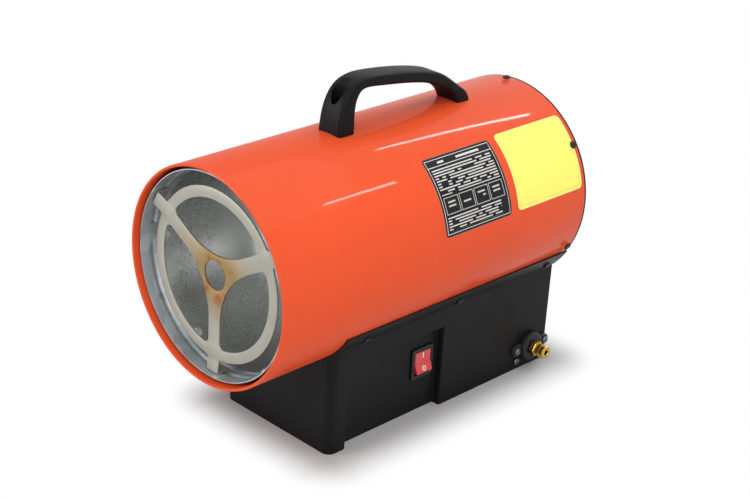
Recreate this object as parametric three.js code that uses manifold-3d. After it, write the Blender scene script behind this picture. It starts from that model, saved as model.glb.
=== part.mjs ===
// Gas fired forced air heater: a steel drum lying on a sheet steel base.
// Millimetres, +Z up. The drum's axis runs along Y and hot air leaves towards -Y.
// Inside this file every depth is measured along +Y from the drum's front rim, every height from the ground.
// The finished group is shifted so that its origin is the middle of the footprint, on the ground.
import * as THREE from "three";
import { mergeVertices } from "three/addons/utils/BufferGeometryUtils.js";
import Module from "manifold-3d";

const wasm = await Module();
wasm.setup();

// ---------------------------------------------------------------- fits
const GAP = 0.3; // between pieces that touch
const HOLE_CLEARANCE = 0.4; // radial, round a screw shank
const RUNNING_CLEARANCE = 0.1; // radial, round a turning or sliding piece
const WELL_CLEARANCE = 0.35; // round the rocker in its well

// ---------------------------------------------------------------- drum
const DRUM_RADIUS = 95;
const CASING_LENGTH = 369.6;
const CASING_WALL = 1.2;
const HEM_WIDTH = 8;
const HEM_THICKNESS = 2.4;
const HEM_ROUND = 0.7;
const DRUM_CLEARANCE = 73; // from the ground to the drum's underside
const AXIS_HEIGHT = DRUM_CLEARANCE + DRUM_RADIUS;
const DRUM_SEGMENTS = 40; // facets round the drum
const INNER_SEGMENTS = 30; // facets round the liner and bowl
const RING_SEGMENTS = 20; // facets round the grille rings
const SMALL_SEGMENTS = 12; // facets round turned parts
const CASING_INNER = DRUM_RADIUS - CASING_WALL;

// liner and guard
const LINER_SPACING = 5.4; // from the drum's outside to the liner's
const LINER_RADIUS = DRUM_RADIUS - LINER_SPACING;
const LINER_WALL = 0.8;
const LINER_FRONT = 5;
const LINER_REAR = 138;
const LINER_BEAD_HEIGHT = 1.5;
const LINER_BEAD_WIDTH = 5;
const LINER_BEAD_DEPTH = 18;
const LINER_FOOT_DEPTH = 64;
const LINER_FOOT_RADIUS = 6;
const LINER_INNER = LINER_RADIUS - LINER_WALL;
const GUARD_DEPTH = 11;
const GUARD_THICKNESS = 1.5;
const GUARD_MARGIN = 14.6; // from the liner to the ring
const GUARD_RING_WIDTH = 9.5;
const GUARD_RING_OUTER = LINER_RADIUS - GUARD_MARGIN;
const GUARD_RING_INNER = GUARD_RING_OUTER - GUARD_RING_WIDTH;
const GUARD_HUB_HOLE = 13;
const GUARD_SPOKE_WIDTH = 13.5;
const GUARD_FLARE_RADIUS = 66;
const GUARD_CORNER_RADIUS = 5;
const GUARD_TAB_LENGTH = 9;
const SPOKE_ANGLES = [30, 150, 270];

// burner
const CUP_RIM_DEPTH = 34;
const CUP_RIM_WIDTH = 12;
const CUP_BOWL_DEPTH = 88;
const CUP_FLOOR_RADIUS = 44;
const CUP_WALL = 0.8;
const RIVET_COUNT = 6;
const RIVET_HEAD_RADIUS = 4.6;
const RIVET_HEAD_HEIGHT = 2.6;
const RIVET_SEGMENTS = 8;
const BURNER_RADIUS = 22;
const BURNER_LENGTH = 24;
const BURNER_PORTS = 6;
const BURNER_PORT_RADIUS = 2.5;
const BURNER_WALL = 2;
const MIXER_LENGTH = 66;
const MIXER_RADIUS = 17;
const MIXER_THROAT = 12;
const MIXER_WALL = 1.2;
const MIXER_SPIGOT_RADIUS = 14;
const MIXER_SPIGOT_LENGTH = 10;
const INJECTOR_LENGTH = 16;
const INJECTOR_RADIUS = 6;
const INJECTOR_STANDOFF = 4;
const INJECTOR_BORE = 1.5;
const INJECTOR_NOSE = 6;
const INJECTOR_HEX_RADIUS = 9;
const INJECTOR_HEX_LENGTH = 4;
const BRACKET_WIDTH = 30;
const BRACKET_SHEET = 1.5;
const BRACKET_CLEARANCE = 6; // beside the mixing tube
const PROBE_ANGLES = [125, 55];
const ELECTRODE_TIP = { radius: 0.9, length: 12 };
const THERMOCOUPLE_TIP = { radius: 1.8, length: 9 };
const PROBE_CIRCLE = 34;
const PROBE_RADIUS = 3.5;
const PROBE_FRONT = 17;
const PROBE_BACK = 17;
const PROBE_COLLAR = 1.8;
const PROBE_COLLAR_LENGTH = 3;
const THERMOSTAT_RADIUS = 8;
const THERMOSTAT_HEIGHT = 7;
const THERMOSTAT_FOOT = 2.5;
const THERMOSTAT_BLADE = { thickness: 0.8, width: 3.2, offset: 3, length: 5 };
const THERMOSTAT_ANGLE = 60;
const THERMOSTAT_DEPTH = 165;

// fan and motor
const FAN_TIP_GAP = 11;
const FAN_RADIUS = DRUM_RADIUS - FAN_TIP_GAP;
const FAN_HUB_RADIUS = 13;
const FAN_HUB_LENGTH = 18;
const FAN_BLADES = 5;
const FAN_BLADE_THICKNESS = 1.6;
const FAN_BLADE_ROOT = 24;
const FAN_BLADE_TIP = 52;
const FAN_BLADE_CAMBER = 3;
const FAN_BLADE_PITCH = 32; // degrees at the hub
const FAN_BLADE_TIP_PITCH = 20; // degrees at the tip
const FAN_MOTOR_GAP = 3;
const SHAFT_RADIUS = 4;
const SHAFT_IN_MOTOR = 30;
const SHAFT_END = 8;
const FAN_NUT_RADIUS = 7.5;
const FAN_NUT_LENGTH = 5;
const MOTOR_RADIUS = 36;
const MOTOR_LENGTH = 56;
const MOTOR_BOSS_RADIUS = 11;
const MOTOR_BOSS_LENGTH = 6;
const MOTOR_EDGE = 4;
const MOTOR_SLOTS = 4;
const MOTOR_SLOT_WIDTH = 4;
const MOTOR_SLOT_LENGTH = 14;
const MOTOR_SLOT_INSET = 8;
const MOTOR_SLOT_DEPTH = 5;
const MOTOR_SCREW_CIRCLE = 17;
const MOTOR_LEAD_X = -20;
const MOTOR_LEAD_SETBACK = 7.7; // behind the motor's front face
const MOTOR_LEAD_HOLE = 5;

// rear grille
const GRILLE_LIP = 2.4;
const GRILLE_RIM_WIDTH = 11;
const GRILLE_RIM_WALL = 3;
const GRILLE_PLATE_RADIUS = 26;
const GRILLE_PLATE_THICKNESS = 3;
const GRILLE_RINGS = 4;
const GRILLE_RING_WIDTH = 2.2;
const GRILLE_RING_HEIGHT = 3;
const GRILLE_RIBS = 6;
const GRILLE_RIB_WIDTH = 3.4;
const GRILLE_SCREW_ANGLES = [-27, 35, 93.5, 150, 207];
const GRILLE_SCREW_INSET = 5;

// handle
const HANDLE_FOOT_WIDTH = 28;
const HANDLE_GRIP_WIDTH = 23;
const HANDLE_EDGE = 3.6;
const HANDLE_FRONT_DEPTH = 131;
const HANDLE_FRONT_SCREW = 10.5;
const HANDLE_REAR_SCREW = 150;
const HANDLE_SCREW_SEAT = 8;
const HANDLE_SCREW_HEAD = 4.4;
const HANDLE_SCREW_SHANK = 2.2;
const HANDLE_SCREW_REACH = 3;
const HANDLE_DISH_RADIUS = 6.5;
const HANDLE_OUTLINE = [ // along the drum from the front foot, above the drum's top
  [0, -15], [1.6, 14], [8.2, 32.6], [21.5, 43], [40, 45], [78, 41],
  [119, 32.5], [142, 19.4], [158, 7.7], [165, -15],
];
const HANDLE_FINGER_SIDE = [
  [149, -15], [141.5, 6], [128, 16], [107, 25], [81, 30.2], [54, 33.8],
  [34, 35.8], [24, 31.5], [19.6, 18], [19, -15],
];

// base
const BASE_WIDTH = 1.4 * DRUM_RADIUS;
const BASE_FRONT = 84;
const BASE_SETBACK = 0.6; // in front of the drum's rear edge
const BASE_REAR = CASING_LENGTH - BASE_SETBACK;
const BASE_CORNER = 8;
const SHEET = 1.5;
const SADDLE_EDGE_ANGLE = 31.5; // below horizontal
const SADDLE_SCREW_ANGLE = 40;
const SADDLE_FRONT_MARGIN = 31; // from the base's front to the first screw
const SADDLE_SCREW_SPACING = 115;
const SADDLE_REAR_MARGIN = 19;
const SADDLE_SCREW_DEPTHS = [
  BASE_FRONT + SADDLE_FRONT_MARGIN,
  BASE_FRONT + SADDLE_FRONT_MARGIN + SADDLE_SCREW_SPACING,
  BASE_REAR - SADDLE_REAR_MARGIN,
];
const RECESS_FRONT = 104;
const RECESS_REAR = 222;
const RECESS_HEIGHT = 80;
const RECESS_DEPTH = 8;
const RECESS_SLOPE = 6;
const FLOOR_FLANGE = 12;
const FLOOR_FLANGE_SETBACK = 15; // behind the recess
const FLOOR_SCREW_SETBACK = 40; // in front of the base's rear edge
const FLOOR_SCREW_DEPTH = BASE_REAR - FLOOR_SCREW_SETBACK;
const FLOOR_SCREW_HEIGHT = 8;
const REAR_PLATE_INSET = 11;
const REAR_VENTS = 6;
const REAR_VENT_WIDTH = 3.5;
const REAR_VENT_HEIGHT = 26;
const REAR_VENT_PITCH = 9;
const REAR_VENT_BOTTOM = 14;

// controls
const SWITCH_DEPTH = 203;
const SWITCH_HEIGHT = 48;
const BEZEL_WIDTH = 27;
const BEZEL_HEIGHT = 30;
const BEZEL_PROUD = 2;
const ROCKER_WIDTH = 19.5;
const ROCKER_HEIGHT = 22.5;
const ROCKER_TILT = 10; // degrees either side of level
const SWITCH_BODY_LENGTH = 24;
const BLADE = { length: 8, width: 6, thickness: 0.8, offset: 6 };
const SWITCH_BODY_Y = 12; // half width
const SWITCH_BODY_Z = 13; // half height
const ROCKER_WELL = 13;
const ROCKER_PIVOT_INSET = 3.5;
const ROCKER_PIN_RADIUS = 1.5;
const ROCKER_PIN_LENGTH = 1.2;
const ROCKER_BACK = 0.72; // the back's radius as a share of half the height
const ROCKER_END = 1.2;
const INLET_SETBACK = 24; // in front of the base's rear edge
const INLET_DEPTH = BASE_REAR - INLET_SETBACK;
const INLET_HEIGHT = 21;
const INLET_FLANGE_RADIUS = 14;
const INLET_FLANGE_THICKNESS = 6;
const INLET_FLANGE_EDGE = 1.2;
const INLET_EAR_SPACING = 40;
const INLET_EAR_RADIUS = 5.5;
const INLET_EAR_THICKNESS = 3;
const NIPPLE_RADIUS = 6.3;
const NIPPLE_HEX_RADIUS = 7.6;
const NIPPLE_HEX_LENGTH = 5.5;
const NIPPLE_LENGTH = 16;
const NIPPLE_NECK_LENGTH = 2;
const NIPPLE_RING_WIDTH = 4;
const NIPPLE_GROOVE_WIDTH = 1.5;
const NIPPLE_SHANK_RADIUS = 5;
const NIPPLE_BORE = 2.5;
const VALVE_RADIUS = 11;
const VALVE_SLEEVE_RADIUS = 9;
const VALVE_INSET = 10.5; // from each side wall
const VALVE_SOCKET = 8;
const VALVE_OUTLET_LENGTH = 8;
const BUTTON_RADIUS = 6.5;
const BUTTON_PROUD = 7;
const BUTTON_TRAVEL = 5;
const BUTTON_BORE_DEPTH = 16.5;
const BUTTON_EDGE = 0.8;
const BUTTON_DISH = 18;
const BUTTON_DISH_DEPTH = 1.2;
const SLEEVE_PROUD = 2;
const PIEZO_SPACING = 40; // in front of the valve's button
const PIEZO_BODY_LENGTH = 36;
const GLAND_RADIUS = 8;
const GLAND_HEIGHT = 47;
const GLAND_OFFSET = -34;
const GLAND_BORE = 4;
const GLAND_NUT = 5;
const GLAND_NUT_EDGE = 3;
const PASSAGE_RADIUS = 14;
const PASSAGE_DEPTH = 236;
const PIPE_RADIUS = 4;
const PIPE_BEND = 14;
const PIPE_SOCKET = 6;
const LEAD_RADIUS = 2;
const LEAD_SOCKET = 4;
const LEAD_BEND = 9;
const BEND_STEPS = 3;
const LEAD_ASIDE = 10;
const TERMINAL_INSET = 22.5; // from the left wall
const TERMINAL_SPACING = 43; // in front of the igniter
const TERMINAL = { width: 22, length: 32, height: 12, poles: 3 };

// small screws
const SCREW_HEAD_RADIUS = 3.6;
const SCREW_HEAD_HEIGHT = 2;
const SCREW_SHANK_RADIUS = 1.8;
const SCREW_REACH = 5;
const SCREW_HEAD_ROUND = 1;
const SCREW_SEGMENTS = 6;

// ---------------------------------------------------------------- derived places
const OVERALL_LENGTH = CASING_LENGTH + GAP + GRILLE_LIP;
const SADDLE_RADIUS = DRUM_RADIUS + GAP;
const SIDE_X = BASE_WIDTH / 2;
const WALL_TOP = AXIS_HEIGHT - DRUM_RADIUS / 2;
const LINER_FOOT_HEIGHT = CASING_INNER - 2 * GAP - LINER_INNER;
const CUP_RADIUS = LINER_INNER - GAP;
const CUP_FLOOR_DEPTH = CUP_RIM_DEPTH + CUP_RIM_WIDTH / 2 + CUP_BOWL_DEPTH;
const PROBE_SEAT = CUP_FLOOR_DEPTH + CUP_WALL + GAP;
const PROBE_END = PROBE_SEAT + PROBE_BACK;
const RIVET_DEPTH = CUP_RIM_DEPTH - CUP_RIM_WIDTH / 4;
const MIXER_FRONT = CUP_FLOOR_DEPTH + CUP_WALL + 2 * GAP + SHEET;
const MIXER_REAR = MIXER_FRONT + MIXER_LENGTH;
const INJECTOR_FRONT = MIXER_REAR + INJECTOR_STANDOFF;
const GRILLE_FRONT = CASING_LENGTH + GAP - GRILLE_RIM_WIDTH;
const GRILLE_FACE = CASING_LENGTH - GRILLE_PLATE_THICKNESS;
const MOTOR_REAR = GRILLE_FACE - GAP;
const MOTOR_FRONT = MOTOR_REAR - MOTOR_LENGTH;
const FAN_REAR = MOTOR_FRONT - MOTOR_BOSS_LENGTH - FAN_MOTOR_GAP;
const FAN_FRONT = FAN_REAR - FAN_HUB_LENGTH;
const PANEL_X = SIDE_X - RECESS_DEPTH;
const REAR_PLATE_DEPTH = BASE_REAR - REAR_PLATE_INSET;
const ROCKER_PIVOT_X = PANEL_X - ROCKER_PIVOT_INSET;
const MOTOR_LEAD_DEPTH = MOTOR_FRONT + MOTOR_LEAD_SETBACK;
const MOTOR_LEAD_TOP = AXIS_HEIGHT - Math.sqrt(MOTOR_RADIUS ** 2 - MOTOR_LEAD_X ** 2) + LEAD_SOCKET;
const TERMINAL_X = TERMINAL_INSET - SIDE_X;
const TERMINAL_CHANNEL = SHEET + GAP + TERMINAL.height / 2;
const VALVE_FACE = INLET_DEPTH - VALVE_RADIUS;
const VALVE_RIGHT = SIDE_X - VALVE_INSET;
const VALVE_LEFT = -VALVE_RIGHT;
const PIEZO_DEPTH = INLET_DEPTH - PIEZO_SPACING;
const TERMINAL_DEPTH = PIEZO_DEPTH - TERMINAL_SPACING;
const BUTTON_BOTTOM = BUTTON_BORE_DEPTH - SIDE_X;
const SLEEVE_OUTER = -SIDE_X - SLEEVE_PROUD;
const BUTTON_OUTER = SLEEVE_OUTER - BUTTON_PROUD;
const PIEZO_END = -SIDE_X + SHEET + PIEZO_BODY_LENGTH;

// ---------------------------------------------------------------- geometry helpers
const rad = THREE.MathUtils.degToRad;

// A closed manifold solid from a three.js geometry, turned outward if it came inside out.
function solid(geometry) {
  const bare = geometry.index ? geometry.toNonIndexed() : geometry.clone();
  bare.deleteAttribute("normal");
  bare.deleteAttribute("uv");
  const merged = mergeVertices(bare, 1e-4);
  const vertProperties = new Float32Array(merged.attributes.position.array);
  const index = Array.from(merged.index.array);
  const kept = [];
  for (let i = 0; i < index.length; i += 3) {
    const [a, b, c] = index.slice(i, i + 3);
    if (a !== b && b !== c && c !== a) kept.push(a, b, c);
  }
  let volume = 0;
  const point = (i) => new THREE.Vector3().fromArray(vertProperties, 3 * i);
  for (let i = 0; i < kept.length; i += 3) {
    volume += point(kept[i]).dot(point(kept[i + 1]).cross(point(kept[i + 2])));
  }
  const triVerts = new Uint32Array(kept);
  if (volume < 0) triVerts.reverse();
  return new wasm.Manifold(new wasm.Mesh({ numProp: 3, vertProperties, triVerts }));
}

function geometryOf(manifold) {
  const mesh = manifold.getMesh();
  const geometry = new THREE.BufferGeometry();
  geometry.setAttribute("position", new THREE.BufferAttribute(new Float32Array(mesh.vertProperties), 3));
  geometry.setIndex(new THREE.BufferAttribute(new Uint32Array(mesh.triVerts), 1));
  return geometry;
}

function union(solids) {
  return solids.reduce((sum, next) => sum.add(next));
}

function cut(body, tools) {
  return tools.reduce((left, tool) => left.subtract(tool), body);
}

const BASES = {
  x: new THREE.Matrix4().makeBasis(
    new THREE.Vector3(0, 1, 0), new THREE.Vector3(0, 0, 1), new THREE.Vector3(1, 0, 0)),
  y: new THREE.Matrix4().makeBasis(
    new THREE.Vector3(1, 0, 0), new THREE.Vector3(0, 0, 1), new THREE.Vector3(0, -1, 0)),
  z: new THREE.Matrix4(),
};

// Extrudes a shape along an axis. The shape is drawn in (y, z) for x, in (x, z) for y and in (x, y) for z.
function extruded(shape, axis, from, to, options = {}) {
  const geometry = new THREE.ExtrudeGeometry(shape, {
    depth: to - from, bevelEnabled: false, curveSegments: 8, ...options,
  });
  geometry.applyMatrix4(BASES[axis]);
  const start = axis === "y" ? to : from;
  geometry.translate(axis === "x" ? start : 0, axis === "y" ? start : 0, axis === "z" ? start : 0);
  return solid(geometry);
}

function polygon(points) {
  return new THREE.Shape(points.map(([u, v]) => new THREE.Vector2(u, v)));
}

function rectangle(u0, u1, v0, v1) {
  return polygon([[u0, v0], [u1, v0], [u1, v1], [u0, v1]]);
}

function block(x0, x1, y0, y1, z0, z1) {
  return extruded(rectangle(x0, x1, y0, y1), "z", z0, z1);
}

// A circle drawn in several arcs, so that large ones get more facets.
function disc(u, v, radius, arcs = 1) {
  const shape = new THREE.Shape();
  for (let i = 0; i < arcs; i += 1) {
    shape.absarc(u, v, radius, (2 * Math.PI * i) / arcs, (2 * Math.PI * (i + 1)) / arcs, false);
  }
  return shape;
}

// A round bar along an axis, centred at the two other coordinates.
function bar(axis, u, v, radius, from, to, segments = 16) {
  return extruded(disc(u, v, radius), axis, from, to, { curveSegments: segments });
}

function hexagon(axis, u, v, radius, from, to) {
  return bar(axis, u, v, radius, from, to, 3);
}

// A body turned about the drum's axis: a closed loop of [radius, depth] points.
function turned(points, segments = DRUM_SEGMENTS, height = AXIS_HEIGHT) {
  const loop = [...points, points[0]].map(([r, y]) => new THREE.Vector2(r, y));
  const geometry = new THREE.LatheGeometry(loop, segments);
  geometry.translate(0, 0, height);
  return solid(geometry);
}

// A dome or stepped head standing along +Z on the origin: [radius, height] points from axis to axis.
function head(points, segments = 16) {
  const geometry = new THREE.LatheGeometry(points.map(([r, h]) => new THREE.Vector2(r, h)), segments);
  geometry.rotateX(Math.PI / 2);
  return solid(geometry);
}

// Places a solid built along +Z so that its +Z points along `direction` and its origin lands on `at`.
function aim(body, at, direction) {
  const turn = new THREE.Quaternion().setFromUnitVectors(new THREE.Vector3(0, 0, 1), direction);
  const matrix = new THREE.Matrix4().compose(at, turn, new THREE.Vector3(1, 1, 1));
  const geometry = geometryOf(body);
  geometry.applyMatrix4(matrix);
  return solid(geometry);
}

// The point on a cylinder round the drum's axis, and its outward direction.
function onDrum(radius, degrees, depth) {
  const out = new THREE.Vector3(Math.cos(rad(degrees)), 0, Math.sin(rad(degrees)));
  return { at: new THREE.Vector3(0, depth, AXIS_HEIGHT).addScaledVector(out, radius), out };
}

// A pipe's centre line: straight runs of one step each, joined by bends of BEND_STEPS steps.
class Route extends THREE.Curve {
  constructor(points, bend) {
    super();
    this.stops = [points[0]];
    for (let i = 1; i < points.length - 1; i += 1) {
      const into = points[i].clone().sub(points[i - 1]).normalize();
      const away = points[i + 1].clone().sub(points[i]).normalize();
      const before = points[i].clone().addScaledVector(into, -bend);
      const after = points[i].clone().addScaledVector(away, bend);
      this.stops.push(...new THREE.QuadraticBezierCurve3(before, points[i], after).getPoints(BEND_STEPS));
    }
    this.stops.push(points[points.length - 1]);
  }

  getPoint(t, target = new THREE.Vector3()) {
    const place = THREE.MathUtils.clamp(t, 0, 1) * (this.stops.length - 1);
    const before = Math.min(Math.floor(place), this.stops.length - 2);
    return target.lerpVectors(this.stops[before], this.stops[before + 1], place - before);
  }

  getPointAt(u, target) {
    return this.getPoint(u, target);
  }

  getTangentAt(u, target) {
    return this.getTangent(u, target);
  }
}

function tubeAlong(points, bend, radius, sides) {
  const route = new Route(points, bend);
  return solid(new THREE.ExtrudeGeometry(disc(0, 0, radius), {
    steps: route.stops.length - 1, extrudePath: route, bevelEnabled: false, curveSegments: sides,
  }));
}

// ---------------------------------------------------------------- materials and the group
const COLOURS = {
  paintRed: { color: 0xe4512f, roughness: 0.32, metalness: 0.1 },
  blackPaint: { color: 0x1c1b1c, roughness: 0.5, metalness: 0.1 },
  blackPlastic: { color: 0x202122, roughness: 0.55, metalness: 0 },
  galvanised: { color: 0x9aa0a2, roughness: 0.4, metalness: 0.9 },
  stampedSteel: { color: 0xb9b6a9, roughness: 0.45, metalness: 0.8 },
  spunSteel: { color: 0x7d8486, roughness: 0.35, metalness: 0.9 },
  brass: { color: 0xc9a64a, roughness: 0.3, metalness: 1 },
  copper: { color: 0xb06a43, roughness: 0.35, metalness: 1 },
  aluminium: { color: 0xb8babc, roughness: 0.4, metalness: 1 },
  zincScrew: { color: 0x6f7274, roughness: 0.35, metalness: 1 },
  blackScrew: { color: 0x232323, roughness: 0.4, metalness: 0.6 },
  switchRed: { color: 0xd9301f, roughness: 0.3, metalness: 0 },
  ceramic: { color: 0xe9e4d8, roughness: 0.4, metalness: 0 },
  rubber: { color: 0x1a1a1a, roughness: 0.8, metalness: 0 },
};

const heater = new THREE.Group();
heater.position.y = -OVERALL_LENGTH / 2;

function add(name, body, colour) {
  const mesh = new THREE.Mesh(geometryOf(body), new THREE.MeshStandardMaterial(COLOURS[colour]));
  mesh.name = name;
  heater.add(mesh);
}

// ---------------------------------------------------------------- screws
// Every screw is described once; its shank's hole is cut from the sheets it passes through.
function screwSolid({ at, out, headRadius, shankRadius, reach }) {
  const profile = [
    [0, SCREW_HEAD_HEIGHT],
    [headRadius - SCREW_HEAD_ROUND, SCREW_HEAD_HEIGHT],
    [headRadius, 0],
    [shankRadius, 0],
    [shankRadius, -reach],
    [0, -reach],
  ];
  return aim(head(profile, SCREW_SEGMENTS), at.clone().addScaledVector(out, GAP), out);
}

function screwHole({ at, out, shankRadius, reach }) {
  const radius = shankRadius + HOLE_CLEARANCE;
  const length = reach + SCREW_HEAD_HEIGHT + 2 * GAP;
  const body = head([[0, 1], [radius, 1], [radius, -length], [0, -length]], SCREW_SEGMENTS);
  return aim(body, at.clone().addScaledVector(out, GAP), out);
}

function smallScrew(place, reach = SCREW_REACH) {
  return { ...place, headRadius: SCREW_HEAD_RADIUS, shankRadius: SCREW_SHANK_RADIUS, reach };
}

const saddleScrews = [];
for (const side of [1, -1]) {
  for (const depth of SADDLE_SCREW_DEPTHS) {
    const angle = side > 0 ? -SADDLE_SCREW_ANGLE : 180 + SADDLE_SCREW_ANGLE;
    saddleScrews.push(smallScrew(onDrum(SADDLE_RADIUS + SHEET, angle, depth)));
  }
}
const grilleScrews = GRILLE_SCREW_ANGLES.map((angle) =>
  smallScrew(onDrum(DRUM_RADIUS, angle, CASING_LENGTH - GRILLE_SCREW_INSET)));
const floorScrews = [1, -1].map((side) => smallScrew({
  at: new THREE.Vector3(side * SIDE_X, FLOOR_SCREW_DEPTH, FLOOR_SCREW_HEIGHT),
  out: new THREE.Vector3(side, 0, 0),
}));
const inletScrews = [-1, 1].map((end) => {
  const depth = INLET_DEPTH + (end * INLET_EAR_SPACING) / 2;
  const at = new THREE.Vector3(SIDE_X + GAP + INLET_EAR_THICKNESS, depth, INLET_HEIGHT);
  return smallScrew({ at, out: new THREE.Vector3(1, 0, 0) }, SCREW_REACH + INLET_EAR_THICKNESS);
});
const motorScrews = SPOKE_ANGLES.map((angle) => {
  const { at } = onDrum(MOTOR_SCREW_CIRCLE, angle + 60, CASING_LENGTH);
  return smallScrew({ at, out: new THREE.Vector3(0, 1, 0) }, SCREW_REACH + GRILLE_PLATE_THICKNESS);
});
// Handle screws stand upright in the two legs and reach through the drum's wall.
const handleScrews = [HANDLE_FRONT_SCREW, HANDLE_REAR_SCREW].map((along) => ({
  at: new THREE.Vector3(0, HANDLE_FRONT_DEPTH + along, AXIS_HEIGHT + DRUM_RADIUS + HANDLE_SCREW_SEAT),
  out: new THREE.Vector3(0, 0, 1),
  headRadius: HANDLE_SCREW_HEAD,
  shankRadius: HANDLE_SCREW_SHANK,
  reach: HANDLE_SCREW_SEAT + CASING_WALL + HANDLE_SCREW_REACH,
}));

// ---------------------------------------------------------------- outer casing
// One rolled sheet whose two ends are folded inward into a hem.
function casing() {
  const outer = DRUM_RADIUS;
  const hem = DRUM_RADIUS - HEM_THICKNESS;
  const round = HEM_ROUND;
  const end = CASING_LENGTH;
  const body = turned([
    [hem, 0], [outer - round, 0], [outer, round], [outer, end - round], [outer - round, end], [hem, end],
    [hem, end - HEM_WIDTH], [CASING_INNER, end - HEM_WIDTH], [CASING_INNER, HEM_WIDTH], [hem, HEM_WIDTH],
  ]);
  const [low, high] = [DRUM_CLEARANCE - HEM_WIDTH, WALL_TOP];
  const passages = [
    bar("z", 0, PASSAGE_DEPTH, PASSAGE_RADIUS, low, high, 10),
    bar("z", MOTOR_LEAD_X, MOTOR_LEAD_DEPTH, MOTOR_LEAD_HOLE, low, high, 6),
  ];
  return cut(body, [...passages, ...[...saddleScrews, ...grilleScrews, ...handleScrews].map(screwHole)]);
}

// ---------------------------------------------------------------- liner
// A thin tube with a pressed bead near its mouth and three pressed feet that rest in the casing.
function liner() {
  const half = LINER_BEAD_WIDTH / 2;
  const run = [
    [0, LINER_FRONT],
    [0, LINER_BEAD_DEPTH - half],
    [LINER_BEAD_HEIGHT, LINER_BEAD_DEPTH - half / 2],
    [LINER_BEAD_HEIGHT, LINER_BEAD_DEPTH + half / 2],
    [0, LINER_BEAD_DEPTH + half],
    [0, LINER_REAR],
  ];
  const outside = run.map(([bulge, depth]) => [LINER_RADIUS + bulge, depth]);
  const inside = run.map(([bulge, depth]) => [LINER_INNER + bulge, depth]).reverse();
  const tube = turned([...outside, ...inside], INNER_SEGMENTS);
  const foot = head([
    [0, LINER_FOOT_HEIGHT],
    [LINER_FOOT_RADIUS * 0.6, LINER_FOOT_HEIGHT],
    [LINER_FOOT_RADIUS, LINER_WALL / 2],
    [0, LINER_WALL / 2],
  ], 6);
  const feet = SPOKE_ANGLES.map((angle) => {
    const { at, out } = onDrum(LINER_INNER, angle, LINER_FOOT_DEPTH);
    return aim(foot, at, out);
  });
  return cut(union([tube, ...feet]), rivets.map(screwHole));
}

const rivets = [];
for (let i = 0; i < RIVET_COUNT; i += 1) {
  const { at, out } = onDrum(CUP_RADIUS - CUP_WALL - GAP, (360 / RIVET_COUNT) * i, RIVET_DEPTH);
  rivets.push({
    at,
    out: out.negate(),
    shankRadius: SCREW_SHANK_RADIUS,
    reach: CUP_WALL + 2 * GAP + LINER_WALL + 1,
  });
}

function rivetSolid({ at, out, shankRadius, reach }) {
  const profile = [[0, RIVET_HEAD_HEIGHT]];
  for (let i = 1; i <= 2; i += 1) {
    const t = rad((90 * i) / 2);
    profile.push([RIVET_HEAD_RADIUS * Math.sin(t), RIVET_HEAD_HEIGHT * Math.cos(t)]);
  }
  profile.push([shankRadius, 0], [shankRadius, -reach], [0, -reach]);
  return aim(head(profile, RIVET_SEGMENTS), at.clone().addScaledVector(out, GAP), out);
}

// ---------------------------------------------------------------- outlet guard
// A flat stamping: a ring on three spokes that flare into a holed hub.
// Each spoke's end is bent back along the liner.
function guard() {
  const half = GUARD_SPOKE_WIDTH / 2;
  const plate = disc(0, 0, GUARD_RING_OUTER, 4);
  plate.holes.push(disc(0, 0, GUARD_HUB_HOLE, 2));
  const flareCentre = (half + GUARD_FLARE_RADIUS) / Math.sin(rad(60));
  const flareStart = flareCentre * Math.cos(rad(60));
  const cornerCentre = GUARD_RING_INNER - GUARD_CORNER_RADIUS;
  const cornerAlong = Math.sqrt(cornerCentre ** 2 - (half + GUARD_CORNER_RADIUS) ** 2);
  for (const angle of SPOKE_ANGLES) {
    plate.holes.push(guardWindow(rad(angle), half, flareCentre, flareStart, cornerAlong));
  }
  const flat = extruded(plate, "y", GUARD_DEPTH, GUARD_DEPTH + GUARD_THICKNESS, { curveSegments: 4 });
  const pieces = [lift(flat)];
  const reach = LINER_INNER - 3 * GAP;
  for (const angle of SPOKE_ANGLES) {
    const arm = block(-half, half, GUARD_DEPTH, GUARD_DEPTH + GUARD_THICKNESS, GUARD_RING_OUTER - 3, reach);
    const tab = block(-half, half, GUARD_DEPTH, GUARD_DEPTH + GUARD_TAB_LENGTH, reach - GUARD_THICKNESS, reach);
    pieces.push(lift(arm.add(tab).rotate([0, 90 - angle, 0])));
  }
  return union(pieces);
}

// The window between the spoke at `start` and the next one: a concave flare at the hub, round outer corners.
function guardWindow(start, half, flareCentre, flareStart, cornerAlong) {
  const next = start + rad(120);
  const corner = GUARD_CORNER_RADIUS;
  const place = (angle, along, aside) => [
    along * Math.cos(angle) - aside * Math.sin(angle),
    along * Math.sin(angle) + aside * Math.cos(angle),
  ];
  const window = new THREE.Path();
  window.moveTo(...place(start, flareStart, half));
  const [ax, ay] = place(start, cornerAlong, half + corner);
  const outerAngle = Math.atan2(ay, ax);
  window.absarc(ax, ay, corner, start - Math.PI / 2, outerAngle, false);
  const [bx, by] = place(next, cornerAlong, -half - corner);
  const closingAngle = Math.atan2(by, bx);
  window.absarc(0, 0, GUARD_RING_INNER, outerAngle, closingAngle, false);
  window.absarc(bx, by, corner, closingAngle, next + Math.PI / 2, false);
  const middle = start + rad(60);
  const [cx, cy] = [flareCentre * Math.cos(middle), flareCentre * Math.sin(middle)];
  window.absarc(cx, cy, GUARD_FLARE_RADIUS, next + Math.PI / 2, start + 3 * Math.PI / 2, false);
  return window;
}

// Raises a solid drawn round the origin to the drum's axis.
function lift(body) {
  return body.translate([0, 0, AXIS_HEIGHT]);
}

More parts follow.
